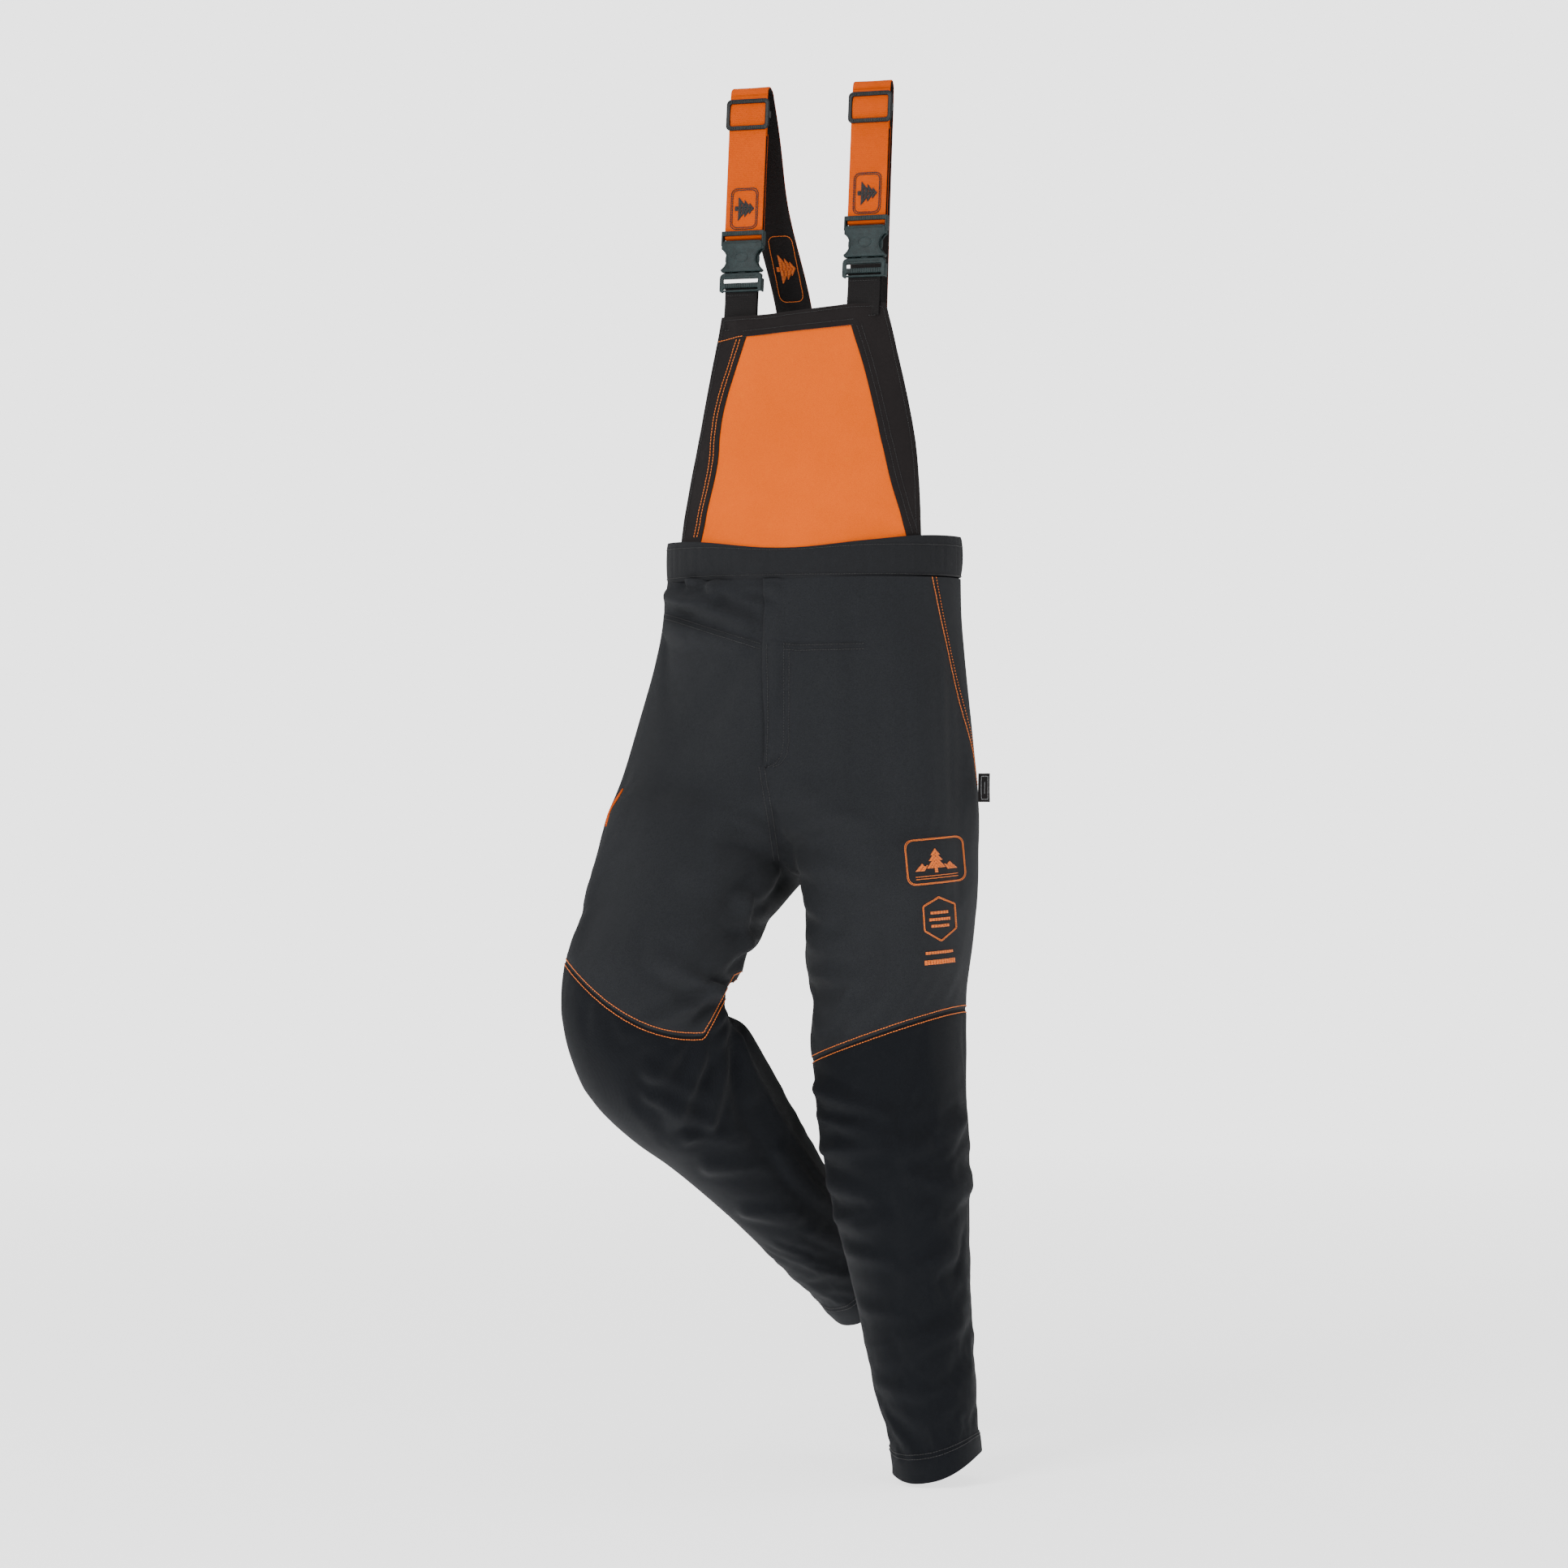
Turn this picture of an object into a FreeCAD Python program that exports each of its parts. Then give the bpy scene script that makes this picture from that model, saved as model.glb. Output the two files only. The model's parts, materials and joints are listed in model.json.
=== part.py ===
import FreeCAD, Part
import os
import re

from FreeCAD import Placement, Rotation, Vector

# Padded bib-and-brace trousers for forestry work, worn shape: left leg straight, right knee bent.
# Millimetres. +Z is up, the front is towards -Y and the wearer's left is +X.
# The origin is the centre of the waist at the top edge of the waistband.
# Every cloth tube is a stack of elliptical sections. Its layers are insets of the same sections.

DIMENSIONS = {
    # cloth layers, from the outside in
    "shell": 1.2,
    "ply_gap": 0.4,
    "pad": 5.0,
    "lining": 0.8,
    "seam": 0.8,
    "joint_gap": 1.5,
    # waistband
    "band_drop": 45.0,
    "band_thick": 3.0,
    "waist_half_width": 186.0,
    "waist_half_depth": 106.0,
    "elastic_thick": 1.6,
    "elastic_margin": 6.0,
    # hips, at three levels below the waistband
    "upper_drop": 135.0,
    "upper_half_width": 192.0,
    "upper_half_depth": 113.0,
    "middle_drop": 235.0,
    "middle_half_width": 208.0,
    "middle_half_depth": 120.0,
    "hips_drop": 322.0,
    "hips_half_width": 213.0,
    "hips_half_depth": 121.0,
    # leg joints
    "hip_side": 95.0,
    "hip_drop": 240.0,
    "left_knee_side": 108.0,
    "left_knee_front": 30.0,
    "left_knee_drop": 650.0,
    "left_hem_side": 189.0,
    "left_hem_front": 80.0,
    "left_hem_drop": 1122.0,
    "right_knee_side": 151.0,
    "right_knee_front": 214.0,
    "right_knee_drop": 580.0,
    "right_hem_side": 31.0,
    "right_hem_back": 107.0,
    "right_hem_drop": 923.0,
    # fold of cloth between hips and upper leg
    "fold_side": 108.0,
    "fold_half_width": 105.0,
    "fold_half_depth": 119.0,
    # upper leg sections: distance from the hip joint, half width, half depth, offset outwards
    "thigh_top_at": 178.0,
    "thigh_top_wide": 103.0,
    "thigh_top_deep": 118.0,
    "thigh_top_out": 6.0,
    "thigh_mid_at": 262.0,
    "thigh_mid_wide": 97.0,
    "thigh_mid_deep": 105.0,
    "thigh_mid_out": 2.0,
    "thigh_end_at": 328.0,
    "thigh_end_wide": 92.0,
    "thigh_end_deep": 103.0,
    "thigh_end_out": 0.0,
    # lower leg sections: distance from the knee joint
    "shin_top_at": 82.0,
    "shin_top_wide": 88.0,
    "shin_top_deep": 98.0,
    "shin_mid_at": 170.0,
    "shin_mid_wide": 77.0,
    "shin_mid_deep": 80.0,
    "shin_calf_at": 270.0,
    "shin_calf_wide": 64.0,
    "shin_calf_deep": 67.0,
    "shin_low_at": 370.0,
    "shin_low_wide": 58.0,
    "shin_low_deep": 60.0,
    "hem_wide": 53.0,
    "hem_deep": 56.0,
    "hem_band": 26.0,
    "hem_thick": 2.4,
    "left_hem_at": 480.0,
    "right_hem_at": 500.0,
    "knee_tilt": 20.8,
    "knee_half_wide": 91.0,
    "knee_half_deep": 96.0,
    # bib
    "bib_base_band": 25.0,
    "bib_half_bottom": 161.0,
    "bib_half_top": 105.0,
    "bib_top_left": 290.0,
    "bib_top_right": 277.0,
    "bib_mid_rise": 145.0,
    "bib_mid_depth": 88.0,
    "bib_mid_back": 6.0,
    "bib_top_depth": 70.0,
    "bib_top_back": 20.0,
    "bib_lean_rise": 300.0,
    "panel_half_bottom": 128.0,
    "panel_half_waist": 110.0,
    "panel_half_chest": 96.0,
    "panel_half_top": 70.0,
    "panel_waist_rise": 100.0,
    "panel_chest_rise": 185.0,
    "panel_top_rise": 256.0,
    # braces and their hardware, in each strap's own frame
    "strap_side": 80.0,
    "strap_front": 43.0,
    "strap_lean": 6.7,
    "brace_lean": 5.7,
    "left_strap_rise": 290.0,
    "right_strap_rise": 278.0,
    "webbing": 49.0,
    "webbing_thick": 1.5,
    "return_offset": 6.6,
    "tab_width": 42.0,
    "buckle_at": 31.0,
    "left_adjuster_at": 243.0,
    "right_adjuster_at": 254.0,
    "left_strap_run": 266.0,
    "right_strap_run": 278.0,
    # side-release buckle
    "rail_in": 25.2,
    "rail_out": 27.6,
    "face_front": 4.4,
    "face_back": 1.4,
    "loop_front": 1.8,
    "loop_back": 5.6,
    "plug_base": 17.0,
    "plug_top": 23.5,
    "socket_foot": 25.0,
    "socket_half": 26.5,
    "socket_thick": 5.5,
    "socket_top": 64.0,
    "cavity_half": 22.5,
    "cavity_thick": 3.2,
    "cavity_top": 58.0,
    "notch_radius": 15.0,
    "notch_side": 34.5,
    "notch_rise": 41.0,
    "buckle_top": 76.5,
    "bar_rise": 70.5,
    "prong_in": 12.5,
    "prong_arm": 16.5,
    "prong_out": 22.0,
    "prong_foot": 24.0,
    "prong_head": 34.0,
    "prong_top": 51.0,
    "prong_thick": 2.4,
    # tri-glide adjuster
    "glide_half": 28.0,
    "glide_open": 23.0,
    "glide_rise": 19.5,
    "glide_window": 14.0,
    "glide_front": 4.4,
    "glide_back": 1.6,
    "glide_bar_front": 2.2,
    "glide_bar_back": 4.8,
    "glide_bar_rise": 3.5,
    # back yoke
    "yoke_rise": 75.0,
    "yoke_half_bottom": 62.0,
    "yoke_half_top": 34.0,
    "yoke_thick": 2.4,
    # fly and its zip, in the zip's own frame
    "fly_edge": 26.0,
    "fly_stitch": 10.0,
    "fly_drop": 232.0,
    "zip_side": 12.0,
    "zip_front": 92.0,
    "zip_top": 50.0,
    "zip_lean": 3.6,
    "zip_length": 172.0,
    "tape_half": 16.0,
    "tape_thick": 0.8,
    "coil_in": 1.3,
    "coil_out": 3.5,
    "coil_thick": 2.4,
    "slider_half": 6.0,
    "slider_length": 14.0,
    "slider_gap": 1.6,
    "slider_wall": 1.2,
    "pull_width": 8.0,
    "pull_length": 18.0,
    # side tab at the left hip
    "side_tab_top": 283.0,
    "side_tab_length": 35.0,
    "side_tab_out": 15.0,
    "side_tab_thick": 1.6,
}

doc = FreeCAD.newDocument("bib_and_brace_trousers")
dims = doc.addObject("Spreadsheet::Sheet", "dims")
for row, (alias, value) in enumerate(DIMENSIONS.items(), start=1):
    dims.set(f"A{row}", alias)
    dims.set(f"B{row}", str(value))
    dims.setAlias(f"B{row}", alias)
doc.recompute()

SIDES = {"left": 1, "right": -1}
REACH = 1500.0
pieces = {}


def linked(text):
    """The text as an expression on the sheet: each word in it is an alias."""
    return re.sub(r"[a-z_]+", lambda word: "dims." + word.group(0), text)


def size(text):
    """The number that a sum or difference of aliases and numbers comes to now."""
    total = 0.0
    for sign, term in re.findall(r"([+-]?)\s*([a-z_]+|[\d.]+)", text):
        number = float(dims.get(term)) if term[0].isalpha() else float(term)
        total += -number if sign == "-" else number
    return total


def bind(obj, **limits):
    """Binds properties of obj to expressions on the sheet."""
    for name, text in limits.items():
        obj.setExpression(name, linked(text))
    return obj


def place(obj, x="0", y="0", z="0"):
    """Binds the corner or centre of obj to the sheet."""
    for axis, text in zip("xyz", (x, y, z)):
        obj.setExpression(f"Placement.Base.{axis}", linked(text))
    return obj


def piece(node, obj, frame=None):
    """Makes obj the sub-part called node, placed by frame."""
    obj.Label = node
    if frame is not None:
        obj.Placement = frame
    pieces[node] = obj
    return obj


def block(name, x, y, z):
    """A box between three pairs of low and high expressions."""
    box = doc.addObject("Part::Box", name)
    bind(
        box,
        Length=f"({x[1]}) - ({x[0]})",
        Width=f"({y[1]}) - ({y[0]})",
        Height=f"({z[1]}) - ({z[0]})",
    )
    return place(box, x[0], y[0], z[0])


def mirrored(low, high, sign):
    """A pair of expressions across the middle plane: as given for +1, swapped over for -1."""
    return (low, high) if sign > 0 else (f"-({high})", f"-({low})")


def joined(name, *parts):
    """One solid out of several that overlap."""
    fuse = doc.addObject("Part::MultiFuse", name)
    fuse.Shapes = list(parts)
    return fuse


def common(name, *parts):
    """What all the parts share."""
    shared = doc.addObject("Part::MultiCommon", name)
    shared.Shapes = list(parts)
    return shared


def cut(name, base, tool):
    """base without tool."""
    rest = doc.addObject("Part::Cut", name)
    rest.Base = base
    rest.Tool = tool
    return rest


class Section:
    """One ellipse of a cloth tube: half sizes as expressions, and where its plane is."""

    def __init__(self, wide, deep, at=None, centre=("0", "0", "0"), tilt=0.0):
        self.wide = wide
        self.deep = deep
        self.at = at
        self.centre = centre
        self.tilt = tilt

    def ring(self, name, inset):
        """The ellipse, inset on all sides. The longer half size lies along local X or Y."""
        ellipse = doc.addObject("Part::Ellipse", name)
        turn = Rotation(Vector(1, 0, 0), self.tilt)
        if size(self.wide) >= size(self.deep):
            bind(ellipse, MajorRadius=f"{self.wide} - ({inset})", MinorRadius=f"{self.deep} - ({inset})")
        else:
            turn = turn * Rotation(Vector(0, 0, 1), 90)
            bind(ellipse, MajorRadius=f"{self.deep} - ({inset})", MinorRadius=f"{self.wide} - ({inset})")
        if self.at is not None:
            ellipse.Placement = self.at * Placement(Vector(), turn)
        else:
            ellipse.Placement = Placement(Vector(), turn)
            place(ellipse, *self.centre)
        return ellipse


def tube(name, sections, inset):
    """A solid through the sections, each inset by the same amount."""
    loft = doc.addObject("Part::Loft", name)
    loft.Sections = [
        section.ring(f"{name}_ring{number}", inset) for number, section in enumerate(sections)
    ]
    loft.Solid = True
    loft.Ruled = False
    return loft


def wall(name, sections, outer, inner):
    """The layer of cloth between two insets of the same sections."""
    return cut(name, tube(f"{name}_outside", sections, outer), tube(f"{name}_inside", sections, inner))


def half_space(name, x=(-REACH, REACH), y=(-REACH, REACH), z=(-REACH, REACH)):
    """A box that is large in every direction that isn't limited."""
    return block(name, *[(str(low), str(high)) for low, high in (x, y, z)])


HALF_SEAM = size("seam") / 2
FRONT = half_space("front_side", y=(-REACH, -HALF_SEAM))
BACK = half_space("back_side", y=(HALF_SEAM, REACH))
LEFT = half_space("left_side", x=(HALF_SEAM, REACH))
RIGHT = half_space("right_side", x=(-REACH, -HALF_SEAM))

SHELL = ("0", "shell")
PAD = ("shell + ply_gap", "shell + ply_gap + pad")
LINING = ("shell + ply_gap + pad + ply_gap", "shell + ply_gap + pad + ply_gap + lining")


def level(wide, deep, drop):
    """A horizontal section of the hips at a depth below the waist."""
    return Section(wide, deep, centre=("0", "0", f"-({drop})"))


def make_waistband():
    """A folded band in a front and a back half, with an elastic inside the back half."""
    sections = [
        level("waist_half_width", "waist_half_depth", "0"),
        level("waist_half_width", "waist_half_depth", "band_drop"),
    ]
    band = wall("band", sections, "0", "band_thick")
    piece("waistband_front", common("waistband_front_half", band, FRONT))
    margin = "elastic_margin"
    elastic_sections = [
        level("waist_half_width", "waist_half_depth", margin),
        level("waist_half_width", "waist_half_depth", f"band_drop - {margin}"),
    ]
    centre = "band_thick - elastic_thick"
    elastic = wall("elastic", elastic_sections, "0.7", "0.7 + elastic_thick")
    room = wall("elastic_room", elastic_sections, "0.6", f"0.8 + elastic_thick")
    inner_back = half_space("elastic_back", y=(2 * HALF_SEAM, REACH))
    piece("waistband_back", common("waistband_back_half", cut("band_with_room", band, room), BACK))
    piece("waist_elastic", common("waist_elastic_half", elastic, inner_back))


def make_hips():
    """The hip part of the trousers: two fronts that meet at the fly, two seats, and the lining."""
    sections = [
        level("waist_half_width", "waist_half_depth", "band_drop + ply_gap"),
        level("upper_half_width", "upper_half_depth", "upper_drop"),
        level("middle_half_width", "middle_half_depth", "middle_drop"),
        level("hips_half_width", "hips_half_depth", "hips_drop"),
    ]
    shell = wall("hip_shell", sections, *SHELL)
    fly_edge = -size("fly_edge")
    beyond_fly = half_space("beyond_fly", x=(fly_edge + HALF_SEAM, REACH))
    before_fly = half_space("before_fly", x=(-REACH, fly_edge - HALF_SEAM))
    piece("hip_front_left", common("hip_front_left_part", shell, FRONT, beyond_fly))
    piece("hip_front_right", common("hip_front_right_part", shell, FRONT, before_fly))
    piece("seat_left", common("seat_left_part", shell, BACK, LEFT))
    piece("seat_right", common("seat_right_part", shell, BACK, RIGHT))
    lining = wall("hip_lining_ring", sections, "shell + 2", "shell + 2 + lining")
    slot = block(
        "fly_slot",
        ("-zip_side - tape_half - 8", "tape_half + 8 - zip_side"),
        ("-200", "0"),
        ("-fly_drop - 6", "0"),
    )
    piece("hip_lining", cut("hip_lining_open", lining, slot))
    facing = wall("fly_facing_ring", sections, "shell + ply_gap", "shell + ply_gap + 1")
    strip = block(
        "fly_strip",
        ("-fly_edge + 2", "fly_stitch"),
        ("-200", "0"),
        ("-fly_drop", "-band_drop - 3"),
    )
    piece("fly_facing", common("fly_facing_part", facing, strip))


def make_zip():
    """The fly zip behind the flap: two taped coils, stops, a slider, its pull and the underlap."""
    frame = Placement(
        Vector(-size("zip_side"), -size("zip_front"), -size("zip_top")),
        Rotation(Vector(1, 0, 0), -size("zip_lean")),
    )
    run = ("-zip_length", "-2")
    for side, sign in SIDES.items():
        tape = block(
            f"tape_{side}_web",
            mirrored("coil_in", "tape_half", sign),
            ("-tape_thick", "0"),
            run,
        )
        coil = block(
            f"tape_{side}_coil",
            mirrored("coil_in", "coil_out", sign),
            ("-coil_thick / 2", "coil_thick / 2"),
            ("-zip_length + 6", "-8"),
        )
        piece(f"zip_tape_{side}", joined(f"zip_tape_{side}_part", tape, coil), frame)
    top_stops = [
        block(f"top_stop_{side}", mirrored("coil_in", "coil_out + 0.6", sign), ("0.1", "1.3"), ("-6", "-2.5"))
        for side, sign in SIDES.items()
    ]
    low_stop = block("low_stop", ("-4.5", "4.5"), ("0.1", "1.5"), ("-zip_length + 1", "-zip_length + 4.5"))
    stops = doc.addObject("Part::Compound", "zip_stop_set")
    stops.Links = [*top_stops, low_stop]
    piece("zip_stops", stops, frame)

    plate_x = ("-slider_half", "slider_half")
    plate_z = ("-8.5 - slider_length", "-8.5")
    front = block("slider_front", plate_x, ("-slider_gap - slider_wall", "-slider_gap"), plate_z)
    rear = block("slider_rear", plate_x, ("slider_gap", "slider_gap + slider_wall"), plate_z)
    post = block("slider_post", ("-0.8", "0.8"), ("-slider_gap - 0.1", "slider_gap + 0.1"), ("-14.5", "-8.6"))
    bridge = block("slider_bridge", ("-1.5", "1.5"), ("-7", "-slider_gap - 0.2"), ("-19", "-10.5"))
    hole = block("bridge_hole", ("-2", "2"), ("-5.6", "-slider_gap - slider_wall"), ("-17.2", "-12.3"))
    body = joined("slider_solid", front, rear, post, bridge)
    piece("zip_slider", cut("slider_part", body, hole), frame)

    bar = block("pull_bar", ("-pull_width / 2", "pull_width / 2"), ("-4.9", "-3.7"), ("-15.4", "-14.2"))
    cheeks = [
        block(f"pull_cheek_{side}", mirrored("2.2", "pull_width / 2", sign), ("-4.9", "-3.7"), ("-20.5", "-14.2"))
        for side, sign in SIDES.items()
    ]
    grip = block(
        "pull_grip",
        ("-pull_width / 2", "pull_width / 2"),
        ("-4.9", "-3.7"),
        ("-14.2 - pull_length", "-20"),
    )
    piece("zip_pull", joined("pull_part", bar, *cheeks, grip), frame)

    underlap = block("underlap_part", ("-tape_half - 2", "tape_half + 2"), ("4.2", "5.2"), ("-zip_length", "2"))
    flap = doc.addObject("Part::Compound", "underlap_layer")
    flap.Links = [underlap]
    piece("fly_underlap", flap, frame)


def make_side_tab():
    """A small folded tab that stands out of the left side seam."""
    tab = block(
        "side_tab_part",
        ("hips_half_width + 0.5", "hips_half_width + side_tab_out"),
        ("-side_tab_thick / 2", "side_tab_thick / 2"),
        ("-side_tab_top - side_tab_length", "-side_tab_top"),
    )
    piece("side_tab", tab)


def make_back_yoke():
    """The patch above the back of the waistband that both braces are sewn to."""
    sections = [
        level("waist_half_width", "waist_half_depth", "-ply_gap"),
        level("waist_half_width", "waist_half_depth - 4", "-yoke_rise"),
    ]
    ring = wall("yoke_ring", sections, "0", "yoke_thick")
    bottom = size("yoke_half_bottom")
    top = size("yoke_half_top")
    rise = size("yoke_rise")
    outline = prism("yoke_outline", [(-bottom, -5), (bottom, -5), (top, rise), (-top, rise)], BACKWARDS)
    piece("back_yoke", common("back_yoke_part", ring, outline))


FORWARDS = -1
BACKWARDS = 1


def prism(name, corners, direction):
    """A prism over a front-view outline of (x, z) corners, running forwards or backwards."""
    outline = doc.addObject("Part::Polygon", f"{name}_line")
    outline.Nodes = [Vector(x, 0, z) for x, z in corners]
    outline.Close = True
    solid = doc.addObject("Part::Extrusion", name)
    solid.Base = outline
    solid.DirMode = "Custom"
    solid.Dir = Vector(0, direction, 0)
    solid.LengthFwd = REACH
    solid.Solid = True
    return solid


def bib_edge(rise):
    """Half the bib's width at a height above the waist."""
    bottom = size("bib_half_bottom")
    slope = (bottom - size("bib_half_top")) / size("bib_top_left")
    return bottom - slope * rise


def make_bib():
    """The bib: backing, centre panel, a border in two halves, and the soft band at its base."""
    sections = [
        Section("waist_half_width", "waist_half_depth", centre=("0", "0", "ply_gap")),
        Section("waist_half_width", "bib_mid_depth", centre=("0", "bib_mid_back", "bib_mid_rise")),
        Section("waist_half_width", "bib_top_depth", centre=("0", "bib_top_back", "bib_lean_rise")),
    ]
    outer = wall("bib_outer_ring", sections, *SHELL)
    inner = wall("bib_inner_ring", sections, "shell + ply_gap", "shell + ply_gap + lining")
    base = size("bib_base_band")
    high = size("bib_top_left")
    low = size("bib_top_right")
    whole = prism(
        "bib_outline",
        [(-bib_edge(base), base), (bib_edge(base), base), (bib_edge(high), high), (-bib_edge(low), low)],
        FORWARDS,
    )
    panel = [
        (size("panel_half_bottom"), base),
        (size("panel_half_waist"), size("panel_waist_rise")),
        (size("panel_half_chest"), size("panel_chest_rise")),
        (size("panel_half_top"), size("panel_top_rise")),
    ]
    gap = HALF_SEAM
    panel_line = [(x - gap, z) for x, z in panel] + [(gap - x, z) for x, z in reversed(panel)]
    below = (panel[0][0] + gap, base - 10)
    edge = [(x + gap, z) for x, z in panel[:-1]] + [(panel[-1][0] + gap, panel[-1][1] + gap)]
    opening = [below, *edge, *[(-x, z) for x, z in reversed([below, *edge])]]
    centre = prism("panel_outline", panel_line, FORWARDS)
    border = cut("border_ring", whole, prism("border_opening", opening, FORWARDS))
    piece("bib_centre_panel", common("bib_centre_part", outer, centre))
    piece("bib_border_left", common("bib_border_left_part", outer, border, LEFT))
    piece("bib_border_right", common("bib_border_right_part", outer, border, RIGHT))
    piece("bib_backing", common("bib_backing_part", inner, whole))
    top = base - size("ply_gap")
    band = prism(
        "base_outline",
        [(-bib_edge(0), 0), (bib_edge(0), 0), (bib_edge(top), top), (-bib_edge(top), top)],
        FORWARDS,
    )
    base_ring = wall("bib_base_ring", sections, "0", "shell + ply_gap + lining")
    piece("bib_base", common("bib_base_part", base_ring, band))


def strap_frame(side, sign):
    """The frame of one strap: origin at the bib's top edge, Z up the strap, Y to the back."""
    return Placement(
        Vector(sign * size("strap_side"), -size("strap_front"), size(f"{side}_strap_rise")),
        Rotation(Vector(1, 0, 0), -size("strap_lean")),
    )


def webbing_fold(name, half, low, turn, high):
    """Flat webbing folded back on itself: two layers joined by a web at the turn."""
    across = (f"-{half}", half)
    front = ("-webbing_thick / 2", "webbing_thick / 2")
    rear = ("return_offset", "return_offset + webbing_thick")
    depth = ("-webbing_thick / 2", "return_offset + webbing_thick")
    return joined(
        name,
        block(f"{name}_front", across, front, (low[0], high[0])),
        block(f"{name}_rear", across, rear, (low[1], high[1])),
        block(f"{name}_turn", across, depth, turn),
    )


def make_strap(side, sign):
    """One brace with its tab, buckle and adjuster."""
    frame = strap_frame(side, sign)
    buckle = frame * Placement(Vector(0, 0, size("buckle_at")), Rotation())
    tab_turn = ("buckle_at + 11.6", "buckle_at + 13.1")
    tab = webbing_fold(
        f"tab_{side}", "tab_width / 2", ("0.5", "0.5"), tab_turn, (tab_turn[1], tab_turn[1])
    )
    piece(f"strap_tab_{side}", tab, frame)
    turn = ("buckle_at + 66.4", "buckle_at + 67.9")
    front_run = webbing_fold(
        f"run_{side}", "webbing / 2", (turn[0], turn[0]), turn,
        (f"{side}_strap_run", f"{side}_adjuster_at + glide_bar_rise"),
    )
    piece(f"brace_front_{side}", front_run, frame)
    piece(f"buckle_plug_{side}", plug(side), buckle)
    piece(f"buckle_socket_{side}", socket(side), buckle)
    for place_name, hand in (("inner", -sign), ("outer", sign)):
        piece(f"buckle_prong_{side}_{place_name}", prong(side, place_name, hand), buckle)
    glide_frame = frame * Placement(Vector(0, 0, size(f"{side}_adjuster_at")), Rotation())
    piece(f"adjuster_{side}", tri_glide(side), glide_frame)
    make_back_run(side, sign, frame)


def plug(side):
    """The male half: a ladder bar in front, a loop bar behind it, a base plate and a guide tongue."""
    across = ("-rail_out", "rail_out")
    rails = [
        block(f"plug_{side}_rail{hand}", mirrored("rail_in", "rail_out", hand), ("-face_front", "loop_back"),
              ("0", "plug_base + 0.5"))
        for hand in (1, -1)
    ]
    return joined(
        f"plug_{side}",
        *rails,
        block(f"plug_{side}_foot", across, ("-face_front", "-face_back - 0.6"), ("0", "3")),
        block(f"plug_{side}_ladder", across, ("-face_front", "-face_back"), ("5", "11")),
        block(f"plug_{side}_loop", across, ("loop_front", "loop_back"), ("5", "10")),
        block(f"plug_{side}_base", across, ("-face_front", "face_front"), ("plug_base", "plug_top")),
        block(f"plug_{side}_tongue", ("-5", "5"), ("-prong_thick", "prong_thick"), ("plug_top - 1", "prong_top")),
    )


def prong(side, place_name, hand):
    """A spring arm of the plug with its catch head, which shows in the socket's side window."""
    name = f"prong_{side}_{place_name}"
    depth = ("-prong_thick", "prong_thick")
    return joined(
        name,
        block(f"{name}_arm", mirrored("prong_in", "prong_arm", hand), depth, ("prong_foot", "prong_top")),
        block(f"{name}_head", mirrored("prong_arm - 1", "prong_out", hand), depth, ("prong_head", "prong_top - 2")),
    )


def socket(side):
    """The female half: a hollow body with two side windows, a ladder bar and a loop bar on top."""
    across = ("-socket_half", "socket_half")
    body = block(f"socket_{side}_body", across, ("-socket_thick", "socket_thick"), ("socket_foot", "socket_top"))
    cavity = block(
        f"socket_{side}_cavity",
        ("-cavity_half", "cavity_half"),
        ("-cavity_thick", "cavity_thick"),
        ("socket_foot - 1", "cavity_top"),
    )
    hollow = cut(f"socket_{side}_hollow", body, cavity)
    for number, hand in enumerate((1, -1)):
        window = doc.addObject("Part::Cylinder", f"socket_{side}_window{number}")
        bind(window, Radius="notch_radius", Height="4 * socket_thick")
        window.Placement = Placement(Vector(), Rotation(Vector(1, 0, 0), 90))
        place(window, "notch_side" if hand > 0 else "-notch_side", "2 * socket_thick", "notch_rise")
        hollow = cut(f"socket_{side}_notched{number}", hollow, window)
    wide = ("-rail_out", "rail_out")
    rails = [
        block(f"socket_{side}_rail{hand}", mirrored("rail_in", "rail_out", hand), ("-face_front", "loop_back"),
              ("socket_top - 6", "buckle_top"))
        for hand in (1, -1)
    ]
    return joined(
        f"socket_{side}",
        hollow,
        *rails,
        block(f"socket_{side}_ladder", wide, ("-face_front", "-face_back"), ("bar_rise", "buckle_top")),
        block(f"socket_{side}_loop", wide, ("loop_front", "loop_back"), ("bar_rise", "buckle_top - 1")),
    )


def tri_glide(side):
    """An adjuster: a frame in front of the webbing and a centre bar behind it."""
    across = ("-glide_half", "glide_half")
    face = ("-glide_front", "-glide_back")
    plate = block(f"glide_{side}_plate", across, face, ("-glide_rise", "glide_rise"))
    window = block(
        f"glide_{side}_window", ("-glide_open", "glide_open"), ("-10", "10"), ("-glide_window", "glide_window")
    )
    links = [
        block(f"glide_{side}_link{hand}", mirrored("rail_in", "glide_half", hand),
              ("-glide_back - 0.5", "glide_bar_back"), ("-glide_bar_rise - 1", "glide_bar_rise + 1"))
        for hand in (1, -1)
    ]
    bar = block(
        f"glide_{side}_bar", across, ("glide_bar_front", "glide_bar_back"), ("-glide_bar_rise", "glide_bar_rise")
    )
    return joined(f"glide_{side}", cut(f"glide_{side}_frame", plate, window), *links, bar)


def ribbon_outline(line, thick):
    """The closed outline of a ribbon seen from its side, along a line of (back, up) points."""
    rows = []
    for number, (y, z) in enumerate(line):
        before = line[max(number - 1, 0)]
        after = line[min(number + 1, len(line) - 1)]
        way = Vector(0, after[0] - before[0], after[1] - before[1]).normalize()
        rows.append((Vector(0, y, z), Vector(0, -way.z, way.y) * (thick / 2)))
    return [point + half for point, half in rows] + [point - half for point, half in reversed(rows)]


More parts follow.
